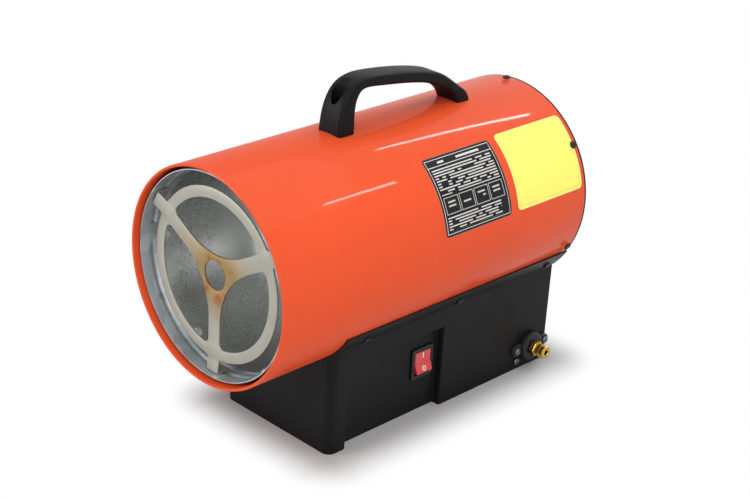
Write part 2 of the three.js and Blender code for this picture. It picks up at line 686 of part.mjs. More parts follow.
// ---------------------------------------------------------------- burner
// A deep drawn bowl: a straight rim against the liner, then a quarter ellipse down to a flat floor.
function burnerCup() {
  const steps = 4;
  const outside = [[CUP_RADIUS, CUP_RIM_DEPTH - CUP_RIM_WIDTH / 2]];
  const inside = [[CUP_RADIUS - CUP_WALL, CUP_RIM_DEPTH - CUP_RIM_WIDTH / 2]];
  for (let i = 0; i <= steps; i += 1) {
    const t = rad((90 * i) / steps);
    const radius = CUP_FLOOR_RADIUS + (CUP_RADIUS - CUP_FLOOR_RADIUS) * Math.cos(t);
    const depth = CUP_RIM_DEPTH + CUP_RIM_WIDTH / 2 + CUP_BOWL_DEPTH * Math.sin(t);
    outside.push([radius + CUP_WALL * (Math.cos(t) - 1), depth + CUP_WALL * Math.sin(t)]);
    inside.push([radius - CUP_WALL, depth]);
  }
  const hole = MIXER_SPIGOT_RADIUS + GAP;
  outside.push([hole, CUP_FLOOR_DEPTH + CUP_WALL]);
  inside.push([hole, CUP_FLOOR_DEPTH]);
  const bowl = turned([...outside, ...inside.reverse()], INNER_SEGMENTS);
  const holes = PROBE_ANGLES.map((angle) => {
    const { at } = onDrum(PROBE_CIRCLE, angle, 0);
    return bar("y", at.x, at.z, PROBE_RADIUS + GAP, CUP_FLOOR_DEPTH - 1, CUP_FLOOR_DEPTH + 2, 5);
  });
  return cut(bowl, [...holes, ...rivets.map(screwHole)]);
}

// A hollow cap with a ring of ports in its face and a socket for the mixing tube behind.
function burnerHead() {
  const front = CUP_FLOOR_DEPTH - GAP - BURNER_LENGTH;
  const back = CUP_FLOOR_DEPTH - GAP;
  const socket = MIXER_SPIGOT_RADIUS + GAP;
  const wall = BURNER_WALL;
  const cap = turned([
    [0, front], [BURNER_RADIUS - wall, front], [BURNER_RADIUS, front + wall], [BURNER_RADIUS, back],
    [socket, back], [socket, back - MIXER_SPIGOT_LENGTH],
    [BURNER_RADIUS - wall, back - MIXER_SPIGOT_LENGTH], [BURNER_RADIUS - wall, front + wall], [0, front + wall],
  ], SMALL_SEGMENTS);
  const ports = [];
  for (let i = 0; i < BURNER_PORTS; i += 1) {
    const { at } = onDrum(BURNER_RADIUS - wall - 2 * BURNER_PORT_RADIUS, (360 / BURNER_PORTS) * i, 0);
    ports.push(bar("y", at.x, at.z, BURNER_PORT_RADIUS, front - 1, front + wall + 1, 3));
  }
  return cut(cap, ports);
}

// A venturi: a spigot that plugs into the burner head, a narrow throat and a flared mouth for air.
function mixingTube() {
  const front = CUP_FLOOR_DEPTH - MIXER_SPIGOT_LENGTH + GAP;
  const outside = [
    [MIXER_SPIGOT_RADIUS, front],
    [MIXER_SPIGOT_RADIUS, MIXER_FRONT + 4],
    [MIXER_THROAT, MIXER_FRONT + MIXER_LENGTH * 0.4],
    [MIXER_THROAT + 1, MIXER_FRONT + MIXER_LENGTH * 0.8],
    [MIXER_RADIUS, MIXER_REAR],
  ];
  const inside = outside.map(([r, y]) => [r - MIXER_WALL, y]).reverse();
  return turned([...outside, ...inside], SMALL_SEGMENTS);
}

function gasInjector() {
  const front = INJECTOR_FRONT;
  const rear = front + INJECTOR_LENGTH;
  const shoulder = front + INJECTOR_NOSE;
  const socket = PIPE_RADIUS + GAP;
  const body = turned([
    [INJECTOR_BORE, front], [INJECTOR_BORE + 1, front], [INJECTOR_RADIUS - 2, shoulder],
    [INJECTOR_RADIUS, shoulder], [INJECTOR_RADIUS, rear], [socket, rear],
    [socket, rear - PIPE_SOCKET], [INJECTOR_BORE, rear - PIPE_SOCKET],
  ], SMALL_SEGMENTS);
  const collar = hexagon("y", 0, AXIS_HEIGHT, INJECTOR_HEX_RADIUS, rear - 1 - INJECTOR_HEX_LENGTH, rear - 1);
  const core = bar("y", 0, AXIS_HEIGHT, INJECTOR_RADIUS - 0.5, shoulder, rear, 8);
  return body.add(collar.subtract(core));
}

// One folded strap: a front plate behind the bowl's floor, two arms and a rear plate that carries the injector.
function burnerBracket() {
  const front = MIXER_FRONT - GAP - SHEET;
  const back = INJECTOR_FRONT + INJECTOR_LENGTH / 2;
  const armX = MIXER_RADIUS + BRACKET_CLEARANCE;
  const half = BRACKET_WIDTH / 2;
  const [low, high] = [AXIS_HEIGHT - half, AXIS_HEIGHT + half];
  const wide = CUP_FLOOR_RADIUS - 3;
  const plate = block(-wide, wide, front, front + SHEET, low, high);
  const arms = [-1, 1].map((side) => {
    const edges = [side * armX, side * (armX - BRACKET_SHEET)].sort((a, b) => a - b);
    return block(...edges, front, back, low + half / 2, high - half / 2);
  });
  const rear = block(-armX, armX, back - BRACKET_SHEET, back, low + half / 2, high - half / 2);
  return cut(union([plate, ...arms, rear]), [
    bar("y", 0, AXIS_HEIGHT, MIXER_SPIGOT_RADIUS + GAP, front - 1, front + SHEET + 1, 12),
    bar("y", 0, AXIS_HEIGHT, INJECTOR_RADIUS + GAP, back - BRACKET_SHEET - 1, back + 1, 6),
  ]);
}

// A probe stands in the bowl's floor beside the burner head, with a seating collar behind the floor.
function probe(angle, end) {
  const { at } = onDrum(PROBE_CIRCLE, angle, 0);
  const front = CUP_FLOOR_DEPTH - PROBE_FRONT;
  const body = bar("y", at.x, at.z, PROBE_RADIUS, front, PROBE_END, 5);
  const collarEnd = PROBE_SEAT + PROBE_COLLAR_LENGTH;
  const collar = bar("y", at.x, at.z, PROBE_RADIUS + PROBE_COLLAR, PROBE_SEAT, collarEnd, 5);
  const tip = bar("y", at.x, at.z, end.radius, front - end.length, front + 1, 3);
  const socket = bar("y", at.x, at.z, LEAD_RADIUS + GAP, PROBE_END - LEAD_SOCKET, PROBE_END + 1, 4);
  return union([body, collar, tip]).subtract(socket);
}

// A disc thermostat on a foot that hangs from the drum's wall behind the liner.
function thermostat() {
  const body = head([
    [0, THERMOSTAT_HEIGHT],
    [THERMOSTAT_RADIUS * 0.7, THERMOSTAT_HEIGHT], [THERMOSTAT_RADIUS * 0.7, THERMOSTAT_FOOT],
    [THERMOSTAT_RADIUS, THERMOSTAT_FOOT], [THERMOSTAT_RADIUS, 0], [0, 0],
  ], 16);
  const { thickness, width, offset, length } = THERMOSTAT_BLADE;
  const blades = [-1, 1].map((side) => block(
    -thickness / 2, thickness / 2, side * offset - width / 2, side * offset + width / 2,
    THERMOSTAT_HEIGHT - 1, THERMOSTAT_HEIGHT + length));
  const { at, out } = onDrum(CASING_INNER - 2 * GAP, THERMOSTAT_ANGLE, THERMOSTAT_DEPTH);
  return aim(union([body, ...blades]), at, out.negate());
}

// ---------------------------------------------------------------- fan and motor
// A hub with pitched, slightly twisted blades that widen towards the tip.
function fan() {
  const hub = turned([
    [SHAFT_RADIUS + GAP, FAN_FRONT], [FAN_HUB_RADIUS - 2, FAN_FRONT], [FAN_HUB_RADIUS, FAN_FRONT + 2],
    [FAN_HUB_RADIUS, FAN_REAR], [SHAFT_RADIUS + GAP, FAN_REAR],
  ], SMALL_SEGMENTS);
  const blades = [];
  for (let i = 0; i < FAN_BLADES; i += 1) {
    blades.push(lift(fanBlade().rotate([0, (360 / FAN_BLADES) * i, 0])));
  }
  return union([hub, ...blades]);
}

// The blade stands along +Z from inside the hub to the tip; its chord turns from the fan's plane by the pitch.
function fanBlade() {
  const inner = FAN_HUB_RADIUS - 3;
  const length = FAN_RADIUS - inner;
  const box = new THREE.BoxGeometry(1, FAN_BLADE_THICKNESS, length, 4, 1, 5);
  const position = box.attributes.position;
  for (let i = 0; i < position.count; i += 1) {
    const share = position.getZ(i) / length + 0.5;
    const chord = FAN_BLADE_ROOT + (FAN_BLADE_TIP - FAN_BLADE_ROOT) * Math.sqrt(share);
    const pitch = rad(FAN_BLADE_PITCH + (FAN_BLADE_TIP_PITCH - FAN_BLADE_PITCH) * share);
    const across = position.getX(i) * chord;
    const camber = FAN_BLADE_CAMBER * (1 - (2 * position.getX(i)) ** 2);
    const aside = position.getY(i) + camber;
    const radius = inner + length * share;
    const edge = Math.sqrt(radius ** 2 - (across * Math.cos(pitch)) ** 2 * share);
    position.setXYZ(
      i,
      across * Math.cos(pitch) - aside * Math.sin(pitch),
      (FAN_FRONT + FAN_REAR) / 2 + across * Math.sin(pitch) + aside * Math.cos(pitch),
      edge,
    );
  }
  return solid(box);
}

function motorShaft() {
  return bar("y", 0, AXIS_HEIGHT, SHAFT_RADIUS, FAN_FRONT - SHAFT_END, MOTOR_FRONT + SHAFT_IN_MOTOR, 5);
}

function fanNut() {
  const rear = FAN_FRONT - GAP;
  const nut = hexagon("y", 0, AXIS_HEIGHT, FAN_NUT_RADIUS, rear - FAN_NUT_LENGTH, rear);
  return nut.subtract(bar("y", 0, AXIS_HEIGHT, SHAFT_RADIUS + GAP, rear - 2 * FAN_NUT_LENGTH, FAN_FRONT, 5));
}

// A round can with rounded ends, a bearing boss in front and cooling slots round its rear half.
function motor() {
  const edge = MOTOR_EDGE;
  const boss = MOTOR_FRONT - MOTOR_BOSS_LENGTH;
  const bore = SHAFT_RADIUS + RUNNING_CLEARANCE;
  const bottom = MOTOR_FRONT + SHAFT_IN_MOTOR + 1;
  const can = turned([
    [0, bottom], [bore, bottom], [bore, boss], [MOTOR_BOSS_RADIUS, boss], [MOTOR_BOSS_RADIUS, MOTOR_FRONT],
    [MOTOR_RADIUS - edge, MOTOR_FRONT], [MOTOR_RADIUS, MOTOR_FRONT + edge],
    [MOTOR_RADIUS, MOTOR_REAR - edge], [MOTOR_RADIUS - edge, MOTOR_REAR], [0, MOTOR_REAR],
  ], 20);
  const slots = [];
  for (let i = 0; i < MOTOR_SLOTS; i += 1) {
    const slot = block(-MOTOR_SLOT_WIDTH / 2, MOTOR_SLOT_WIDTH / 2,
      MOTOR_REAR - MOTOR_SLOT_INSET - MOTOR_SLOT_LENGTH, MOTOR_REAR - MOTOR_SLOT_INSET,
      MOTOR_RADIUS - MOTOR_SLOT_DEPTH, MOTOR_RADIUS + 1);
    slots.push(lift(slot.rotate([0, (360 / MOTOR_SLOTS) * (i + 0.5), 0])));
  }
  const socket = bar("z", MOTOR_LEAD_X, MOTOR_LEAD_DEPTH, LEAD_RADIUS + GAP, 0, MOTOR_LEAD_TOP + GAP, 4);
  return cut(can, [...slots, socket, ...motorScrews.map(screwHole)]);
}

// A moulded grille: a rim inside the drum's hem, a lip over its edge, ribs, rings and the motor's plate.
function rearGrille() {
  const rimOuter = DRUM_RADIUS - HEM_THICKNESS - GAP;
  const rimInner = rimOuter - GRILLE_RIM_WALL;
  const lip = CASING_LENGTH + GAP;
  const rim = turned([
    [rimInner, GRILLE_FRONT], [rimOuter, GRILLE_FRONT], [rimOuter, lip], [DRUM_RADIUS, lip],
    [DRUM_RADIUS, lip + GRILLE_LIP], [rimInner, lip + GRILLE_LIP],
  ], DRUM_SEGMENTS);
  const plate = bar("y", 0, AXIS_HEIGHT, GRILLE_PLATE_RADIUS, GRILLE_FACE, CASING_LENGTH, 12);
  const ribs = [];
  for (let i = 0; i < GRILLE_RIBS; i += 1) {
    const half = GRILLE_RIB_WIDTH / 2;
    const rib = block(-half, half, CASING_LENGTH - GRILLE_RING_HEIGHT, CASING_LENGTH,
      GRILLE_PLATE_RADIUS - GRILLE_RING_WIDTH, rimInner + GRILLE_RIM_WALL / 2);
    ribs.push(lift(rib.rotate([0, (360 / GRILLE_RIBS) * i, 0])));
  }
  const rings = [];
  const pitch = (rimInner - GRILLE_PLATE_RADIUS) / (GRILLE_RINGS + 1);
  for (let i = 1; i <= GRILLE_RINGS; i += 1) {
    const middle = GRILLE_PLATE_RADIUS + pitch * i;
    const [inner, outer] = [middle - GRILLE_RING_WIDTH / 2, middle + GRILLE_RING_WIDTH / 2];
    const face = CASING_LENGTH - GRILLE_RING_HEIGHT;
    const section = [[inner, face], [outer, face], [outer, CASING_LENGTH], [inner, CASING_LENGTH]];
    rings.push(turned(section, RING_SEGMENTS));
  }
  return cut(union([rim, plate, ...ribs, ...rings]), [...grilleScrews, ...motorScrews].map(screwHole));
}

// ---------------------------------------------------------------- handle
// A moulded D: the side outline with rounded edges, narrowed towards the grip and bedded on the drum.
function handle() {
  const point = ([along, height]) => new THREE.Vector2(HANDLE_FRONT_DEPTH + along, DRUM_RADIUS + height);
  const outline = new THREE.Shape();
  const [first, ...over] = HANDLE_OUTLINE.map(point);
  const [turn, ...under] = HANDLE_FINGER_SIDE.map(point);
  outline.moveTo(first.x, first.y);
  outline.splineThru(over);
  outline.lineTo(turn.x, turn.y);
  outline.splineThru(under);
  const geometry = new THREE.ExtrudeGeometry(outline, {
    depth: HANDLE_FOOT_WIDTH - 2 * HANDLE_EDGE,
    bevelThickness: HANDLE_EDGE,
    bevelSize: HANDLE_EDGE,
    bevelOffset: -HANDLE_EDGE,
    bevelSegments: 2,
    curveSegments: 2,
  });
  geometry.applyMatrix4(BASES.x);
  geometry.translate(HANDLE_EDGE - HANDLE_FOOT_WIDTH / 2, 0, 0);
  const crest = Math.max(...HANDLE_OUTLINE.map(([, height]) => height));
  const position = geometry.attributes.position;
  for (let i = 0; i < position.count; i += 1) {
    const rise = THREE.MathUtils.clamp((position.getZ(i) - DRUM_RADIUS) / crest, 0, 1);
    position.setX(i, position.getX(i) * (1 + (HANDLE_GRIP_WIDTH / HANDLE_FOOT_WIDTH - 1) * rise));
  }
  const wells = handleScrews.map(({ at }) => bar(
    "z", at.x, at.y, HANDLE_DISH_RADIUS, at.z, AXIS_HEIGHT + 2 * DRUM_RADIUS, 6));
  return cut(lift(solid(geometry)), [
    bar("y", 0, AXIS_HEIGHT, SADDLE_RADIUS, 0, CASING_LENGTH, DRUM_SEGMENTS / 2),
    ...wells,
    ...handleScrews.map(screwHole),
  ]);
}

// ---------------------------------------------------------------- base
// The plan outline of the base: square behind, rounded corners in front. It is open at the back when asked.
function basePlan(inset, front, rear) {
  const corner = BASE_CORNER - inset;
  const side = SIDE_X - inset;
  const plan = new THREE.Shape();
  plan.moveTo(-side, rear);
  plan.lineTo(-side, front + corner);
  plan.absarc(-side + corner, front + corner, corner, Math.PI, 1.5 * Math.PI, false);
  plan.lineTo(side - corner, front);
  plan.absarc(side - corner, front + corner, corner, 1.5 * Math.PI, 2 * Math.PI, false);
  plan.lineTo(side, rear);
  return plan;
}

// The space the recess takes out of the right side wall; `skin` thickens it for the metal behind.
function recessSpace(skin) {
  const back = SIDE_X - RECESS_DEPTH - skin;
  const top = RECESS_HEIGHT + skin;
  const rise = RECESS_SLOPE / RECESS_DEPTH;
  const away = SIDE_X + RECESS_DEPTH;
  const profile = polygon([
    [back, -1], [away, -1], [away, top + rise * RECESS_DEPTH], [back, top - RECESS_SLOPE - rise * skin],
  ]);
  return extruded(profile, "y", RECESS_FRONT - skin, RECESS_REAR + skin);
}

// One folded sheet: front and side walls, a pressed recess for the switch and saddle flanges that hug the drum.
function baseHousing() {
  const curveSegments = 5;
  const outside = extruded(basePlan(0, BASE_FRONT, BASE_REAR), "z", 0, WALL_TOP, { curveSegments });
  const hollow = basePlan(SHEET, BASE_FRONT + SHEET, BASE_REAR + 1);
  const inside = extruded(hollow, "z", -1, WALL_TOP + 1, { curveSegments });
  const walls = outside.subtract(recessSpace(0)).subtract(inside.subtract(recessSpace(SHEET)));
  const flanges = [1, -1].map((side) => {
    const start = -rad(SADDLE_EDGE_ANGLE);
    const stop = -Math.acos((SIDE_X - SHEET / 2) / (SADDLE_RADIUS + SHEET / 2));
    const arc = new THREE.Shape();
    arc.absarc(0, 0, SADDLE_RADIUS + SHEET, start, stop, true);
    arc.absarc(0, 0, SADDLE_RADIUS, stop, start, false);
    const flange = extruded(arc, "y", BASE_FRONT, BASE_REAR, { curveSegments: 2 });
    return lift(side > 0 ? flange : flange.mirror([1, 0, 0]));
  });
  const drum = bar("y", 0, AXIS_HEIGHT, SADDLE_RADIUS, 0, OVERALL_LENGTH, DRUM_SEGMENTS / 2);
  const holes = [...saddleScrews, ...floorScrews, ...inletScrews].map(screwHole);
  return cut(union([walls, ...flanges]), [
    drum,
    ...holes,
    block(0, SIDE_X, SWITCH_DEPTH - SWITCH_BODY_Y - GAP, SWITCH_DEPTH + SWITCH_BODY_Y + GAP,
      SWITCH_HEIGHT - SWITCH_BODY_Z - GAP, SWITCH_HEIGHT + SWITCH_BODY_Z + GAP),
    bar("x", INLET_DEPTH, INLET_HEIGHT, NIPPLE_SHANK_RADIUS + HOLE_CLEARANCE, 0, SIDE_X + 1, 6),
    bar("x", INLET_DEPTH, INLET_HEIGHT, VALVE_SLEEVE_RADIUS + GAP, -SIDE_X - 1, 0, 6),
    bar("x", PIEZO_DEPTH, INLET_HEIGHT, VALVE_SLEEVE_RADIUS + GAP, -SIDE_X - 1, 0, 6),
  ]);
}

// A tray with an upturned flange along each side wall for the floor screws.
function baseFloor() {
  const inset = SHEET + GAP;
  const rear = REAR_PLATE_DEPTH - GAP;
  const tray = extruded(basePlan(inset, BASE_FRONT + inset, rear), "z", 0, SHEET, { curveSegments: 5 });
  const flanges = [-1, 1].map((side) => {
    const edges = [side * (SIDE_X - inset), side * (SIDE_X - inset - SHEET)].sort((a, b) => a - b);
    return block(...edges, RECESS_REAR + FLOOR_FLANGE_SETBACK, rear, 0, FLOOR_FLANGE + SHEET);
  });
  return cut(union([tray, ...flanges]), [
    recessSpace(SHEET + GAP),
    ...floorScrews.map(screwHole),
    bar("x", INLET_DEPTH, INLET_HEIGHT, VALVE_RADIUS + GAP, -SIDE_X, SIDE_X, 6),
    bar("x", PIEZO_DEPTH, INLET_HEIGHT, VALVE_RADIUS + GAP, -SIDE_X, -SIDE_X / 2, 6),
    ...inletScrews.map(screwHole),
  ]);
}

// The back of the base: a plate under the drum with flanges along the side walls, vent slots and a cable hole.
function baseRearPlate() {
  const inset = SHEET + GAP;
  const side = SIDE_X - inset;
  const [front, back] = [REAR_PLATE_DEPTH, REAR_PLATE_DEPTH + SHEET];
  const plate = block(-side, side, front, back, 0, WALL_TOP);
  const flanges = [-1, 1].map((end) => {
    const edges = [end * side, end * (side - SHEET)].sort((a, b) => a - b);
    return block(...edges, front, BASE_REAR, 0, WALL_TOP);
  });
  const vents = [];
  for (let i = 0; i < REAR_VENTS; i += 1) {
    const x = REAR_VENT_PITCH * (i + 0.5);
    vents.push(block(x - REAR_VENT_WIDTH / 2, x + REAR_VENT_WIDTH / 2, front - 1, back + 1,
      REAR_VENT_BOTTOM, REAR_VENT_BOTTOM + REAR_VENT_HEIGHT));
  }
  return cut(union([plate, ...flanges]), [
    bar("y", 0, AXIS_HEIGHT, SADDLE_RADIUS, 0, OVERALL_LENGTH, DRUM_SEGMENTS / 2),
    bar("y", GLAND_OFFSET, GLAND_HEIGHT, GLAND_RADIUS + GAP, front - 1, back + 1, 6),
    ...vents,
    ...inletScrews.map(screwHole),
  ]);
}

// ---------------------------------------------------------------- switch
// A snap-in housing: a bezel on the panel, a body behind it with a well for the rocker, and two terminals.
function switchBezel() {
  const face = PANEL_X + GAP;
  const wellY = ROCKER_WIDTH / 2 + WELL_CLEARANCE;
  const wellZ = ROCKER_HEIGHT / 2 + WELL_CLEARANCE;
  const edge = BEZEL_PROUD / 2;
  const [halfY, halfZ] = [BEZEL_WIDTH / 2 - edge, BEZEL_HEIGHT / 2 - edge];
  const outline = rectangle(
    SWITCH_DEPTH - halfY, SWITCH_DEPTH + halfY, SWITCH_HEIGHT - halfZ, SWITCH_HEIGHT + halfZ);
  const rim = extruded(outline, "x", face, face + BEZEL_PROUD - edge, {
    bevelEnabled: true, bevelThickness: edge, bevelSize: edge, bevelSegments: 2,
  });
  const behind = block(face - 2 * edge, face, 0, CASING_LENGTH, 0, AXIS_HEIGHT);
  const back = face - SWITCH_BODY_LENGTH;
  const body = block(back, face + edge / 2, SWITCH_DEPTH - SWITCH_BODY_Y, SWITCH_DEPTH + SWITCH_BODY_Y,
    SWITCH_HEIGHT - SWITCH_BODY_Z, SWITCH_HEIGHT + SWITCH_BODY_Z);
  const blades = [-1, 1].map((side) => {
    const middle = SWITCH_HEIGHT + side * BLADE.offset;
    return block(back - BLADE.length, back + 1, SWITCH_DEPTH - BLADE.width / 2, SWITCH_DEPTH + BLADE.width / 2,
      middle - BLADE.thickness / 2, middle + BLADE.thickness / 2);
  });
  const pinEnd = wellY + ROCKER_PIN_LENGTH;
  return cut(union([rim.subtract(behind), body, ...blades]), [
    block(face - ROCKER_WELL, face + 2 * BEZEL_PROUD, SWITCH_DEPTH - wellY, SWITCH_DEPTH + wellY,
      SWITCH_HEIGHT - wellZ, SWITCH_HEIGHT + wellZ),
    bar("y", ROCKER_PIVOT_X, SWITCH_HEIGHT, ROCKER_PIN_RADIUS + RUNNING_CLEARANCE,
      SWITCH_DEPTH - pinEnd, SWITCH_DEPTH + pinEnd, 8),
  ]);
}

// The rocker: two faces that meet in a shallow valley over a half round back, on two short pins.
// It is drawn level and tipped so that its upper end is pressed in, which is its "on" place.
function switchRocker() {
  const half = ROCKER_HEIGHT / 2;
  const front = PANEL_X + BEZEL_PROUD + GAP;
  const rise = Math.tan(rad(ROCKER_TILT)) * half;
  const [end, back] = [half - ROCKER_END, half * ROCKER_BACK];
  const shape = new THREE.Shape();
  shape.moveTo(front + rise, end);
  shape.lineTo(front, 0);
  shape.lineTo(front + rise, -end);
  shape.lineTo(front - ROCKER_END, -end - GAP);
  shape.lineTo(ROCKER_PIVOT_X, -back);
  shape.absarc(ROCKER_PIVOT_X, 0, back, 1.5 * Math.PI, 0.5 * Math.PI, true);
  shape.lineTo(front - ROCKER_END, end + GAP);
  const side = ROCKER_WIDTH / 2;
  const body = extruded(shape, "y", SWITCH_DEPTH - side, SWITCH_DEPTH + side, { curveSegments: 6 });
  const pinEnd = side + ROCKER_PIN_LENGTH;
  const pins = bar("y", ROCKER_PIVOT_X, 0, ROCKER_PIN_RADIUS, SWITCH_DEPTH - pinEnd, SWITCH_DEPTH + pinEnd, 4);
  return body.add(pins)
    .translate([-ROCKER_PIVOT_X, 0, 0])
    .rotate([0, -ROCKER_TILT, 0])
    .translate([ROCKER_PIVOT_X, 0, SWITCH_HEIGHT]);
}

// ---------------------------------------------------------------- gas inlet, valve and igniter
// A round boss with two screw ears along the side wall.
function inletFlange() {
  const from = SIDE_X + GAP;
  const edge = INLET_FLANGE_EDGE;
  const face = from + INLET_FLANGE_THICKNESS;
  const outline = disc(INLET_DEPTH, INLET_HEIGHT, INLET_FLANGE_RADIUS - edge);
  const rounded = extruded(outline, "x", from, face - edge, {
    curveSegments: 8, bevelEnabled: true, bevelThickness: edge, bevelSize: edge, bevelSegments: 1,
  });
  const behind = bar("x", INLET_DEPTH, INLET_HEIGHT, 2 * INLET_FLANGE_RADIUS, from - 2 * edge, from);
  const boss = rounded.subtract(behind);
  const reach = INLET_EAR_SPACING / 2;
  const ears = new THREE.Shape();
  ears.absarc(INLET_DEPTH + reach, INLET_HEIGHT, INLET_EAR_RADIUS, -Math.PI / 2, Math.PI / 2, false);
  ears.absarc(INLET_DEPTH - reach, INLET_HEIGHT, INLET_EAR_RADIUS, Math.PI / 2, 1.5 * Math.PI, false);
  const plate = extruded(ears, "x", from, from + INLET_EAR_THICKNESS);
  return cut(union([boss, plate]), [
    bar("x", INLET_DEPTH, INLET_HEIGHT, NIPPLE_SHANK_RADIUS + HOLE_CLEARANCE, from - 1, face + 1, 6),
    ...inletScrews.map(screwHole),
  ]);
}

// A turned brass nipple: a shank into the valve, a hexagon, a grooved spigot and a flared end.
function inletNipple() {
  const seat = SIDE_X + 2 * GAP + INLET_FLANGE_THICKNESS;
  const hexEnd = seat + NIPPLE_HEX_LENGTH;
  const end = seat + NIPPLE_LENGTH;
  const socket = VALVE_RIGHT - VALVE_SOCKET + GAP;
  const neck = NIPPLE_RADIUS - 1;
  const ring = end - NIPPLE_RING_WIDTH;
  const groove = ring - NIPPLE_GROOVE_WIDTH;
  const profile = [
    [NIPPLE_BORE, socket], [NIPPLE_SHANK_RADIUS, socket], [NIPPLE_SHANK_RADIUS, hexEnd],
    [neck, hexEnd], [neck, hexEnd + NIPPLE_NECK_LENGTH], [NIPPLE_RADIUS, hexEnd + NIPPLE_NECK_LENGTH + 0.5],
    [NIPPLE_RADIUS, groove], [neck, groove + 0.4], [neck, ring - 0.4], [NIPPLE_RADIUS, ring],
    [NIPPLE_RADIUS, end - 0.8], [NIPPLE_RADIUS - 0.8, end], [NIPPLE_BORE, end],
  ];
  const loop = [...profile, profile[0]].map(([r, along]) => new THREE.Vector2(r, along));
  const geometry = new THREE.LatheGeometry(loop, SMALL_SEGMENTS);
  geometry.rotateZ(-Math.PI / 2);
  geometry.translate(0, INLET_DEPTH, INLET_HEIGHT);
  const hex = hexagon("x", INLET_DEPTH, INLET_HEIGHT, NIPPLE_HEX_RADIUS, seat, hexEnd + 0.5);
  const core = bar("x", INLET_DEPTH, INLET_HEIGHT, NIPPLE_SHANK_RADIUS - 0.5, seat - 1, hexEnd + 1, 8);
  return solid(geometry).add(hex.subtract(core));
}

// The valve spans the base: the nipple's socket on the right, the pipe's outlet, a button sleeve on the left.
function gasValve() {
  const body = bar("x", INLET_DEPTH, INLET_HEIGHT, VALVE_RADIUS, VALVE_LEFT, VALVE_RIGHT, 6);
  const sleeve = bar("x", INLET_DEPTH, INLET_HEIGHT, VALVE_SLEEVE_RADIUS, SLEEVE_OUTER, VALVE_LEFT + 1, 6);
  const socket = VALVE_RIGHT - VALVE_SOCKET;
  const outlet = bar("y", 0, INLET_HEIGHT, PIPE_RADIUS + 2.5, VALVE_FACE - VALVE_OUTLET_LENGTH, INLET_DEPTH, 6);
  return cut(union([body, sleeve, outlet]), [
    bar("x", INLET_DEPTH, INLET_HEIGHT, NIPPLE_SHANK_RADIUS + GAP, socket, VALVE_RIGHT + 1, 6),
    bar("x", INLET_DEPTH, INLET_HEIGHT, NIPPLE_BORE, 0, VALVE_RIGHT, 4),
    bar("y", 0, INLET_HEIGHT, NIPPLE_BORE, VALVE_FACE, INLET_DEPTH, 4),
    bar("y", 0, INLET_HEIGHT, PIPE_RADIUS + GAP, VALVE_FACE - VALVE_OUTLET_LENGTH - 1, VALVE_FACE, 6),
    bar("y", LEAD_ASIDE, INLET_HEIGHT, LEAD_RADIUS + GAP, VALVE_FACE - 1, VALVE_FACE + LEAD_SOCKET, 4),
    bar("x", INLET_DEPTH, INLET_HEIGHT, BUTTON_RADIUS + RUNNING_CLEARANCE, BUTTON_OUTER, BUTTON_BOTTOM, 8),
  ]);
}

function pushButton(depth) {
  const inner = BUTTON_BOTTOM - BUTTON_TRAVEL - GAP;
  const edge = BUTTON_EDGE;
  const outline = disc(depth, INLET_HEIGHT, BUTTON_RADIUS - edge);
  const button = extruded(outline, "x", BUTTON_OUTER + edge, inner - edge, {
    curveSegments: 8, bevelEnabled: true, bevelThickness: edge, bevelSize: edge, bevelSegments: 1,
  });
  const dish = new THREE.SphereGeometry(BUTTON_DISH, 20, 12);
  dish.translate(BUTTON_OUTER - BUTTON_DISH + BUTTON_DISH_DEPTH, depth, INLET_HEIGHT);
  return button.subtract(solid(dish));
}

function piezoBody() {
  const face = SLEEVE_OUTER - GAP;
  const body = bar("x", PIEZO_DEPTH, INLET_HEIGHT, VALVE_SLEEVE_RADIUS, face, PIEZO_END, 6);
  const collar = bar("x", PIEZO_DEPTH, INLET_HEIGHT, VALVE_RADIUS, face, -SIDE_X - GAP, 6);
  return cut(union([body, collar]), [
    bar("x", PIEZO_DEPTH, INLET_HEIGHT, BUTTON_RADIUS + RUNNING_CLEARANCE, BUTTON_OUTER, BUTTON_BOTTOM, 8),
    bar("x", PIEZO_DEPTH, INLET_HEIGHT, LEAD_RADIUS + GAP, PIEZO_END - LEAD_SOCKET, PIEZO_END + 1, 4),
  ]);
}

function cableGland() {
  const outer = REAR_PLATE_DEPTH + SHEET + GAP;
  const inner = REAR_PLATE_DEPTH - GAP;
  const length = GLAND_NUT + GLAND_NUT_EDGE;
  const body = bar("y", GLAND_OFFSET, GLAND_HEIGHT, GLAND_RADIUS, inner - length, outer + 1, 6);
  const nuts = [
    hexagon("y", GLAND_OFFSET, GLAND_HEIGHT, GLAND_RADIUS + GLAND_NUT_EDGE, inner - GLAND_NUT, inner),
    hexagon("y", GLAND_OFFSET, GLAND_HEIGHT, GLAND_RADIUS + GLAND_NUT_EDGE, outer, outer + GLAND_NUT),
    bar("y", GLAND_OFFSET, GLAND_HEIGHT, GLAND_RADIUS - 1, outer, outer + length, 6),
  ];
  const bore = bar("y", GLAND_OFFSET, GLAND_HEIGHT, GLAND_BORE, inner - length - 1, outer + length + 1, 6);
  return union([body, ...nuts]).subtract(bore);
}

// A screw terminal strip on the floor with a through channel for each pole.
function terminalBlock() {
  const { width, length, height, poles } = TERMINAL;
  const [x, y] = [TERMINAL_X, TERMINAL_DEPTH];
  const bottom = SHEET + GAP;
  const body = block(x - width / 2, x + width / 2, y - length / 2, y + length / 2, bottom, bottom + height);
  const holes = [];
  for (let i = 0; i < poles; i += 1) {
    const v = y + (length / poles) * (i + 0.5 - poles / 2);
    holes.push(bar("x", v, TERMINAL_CHANNEL, LEAD_RADIUS + GAP, x - width, x + width, 4));
    holes.push(bar("z", x - width / 4, v, LEAD_RADIUS, TERMINAL_CHANNEL, bottom + height + 1, 3));
  }
  return cut(body, holes);
}

// ---------------------------------------------------------------- pipe and leads
const spot = (x, y, z) => new THREE.Vector3(x, y, z);

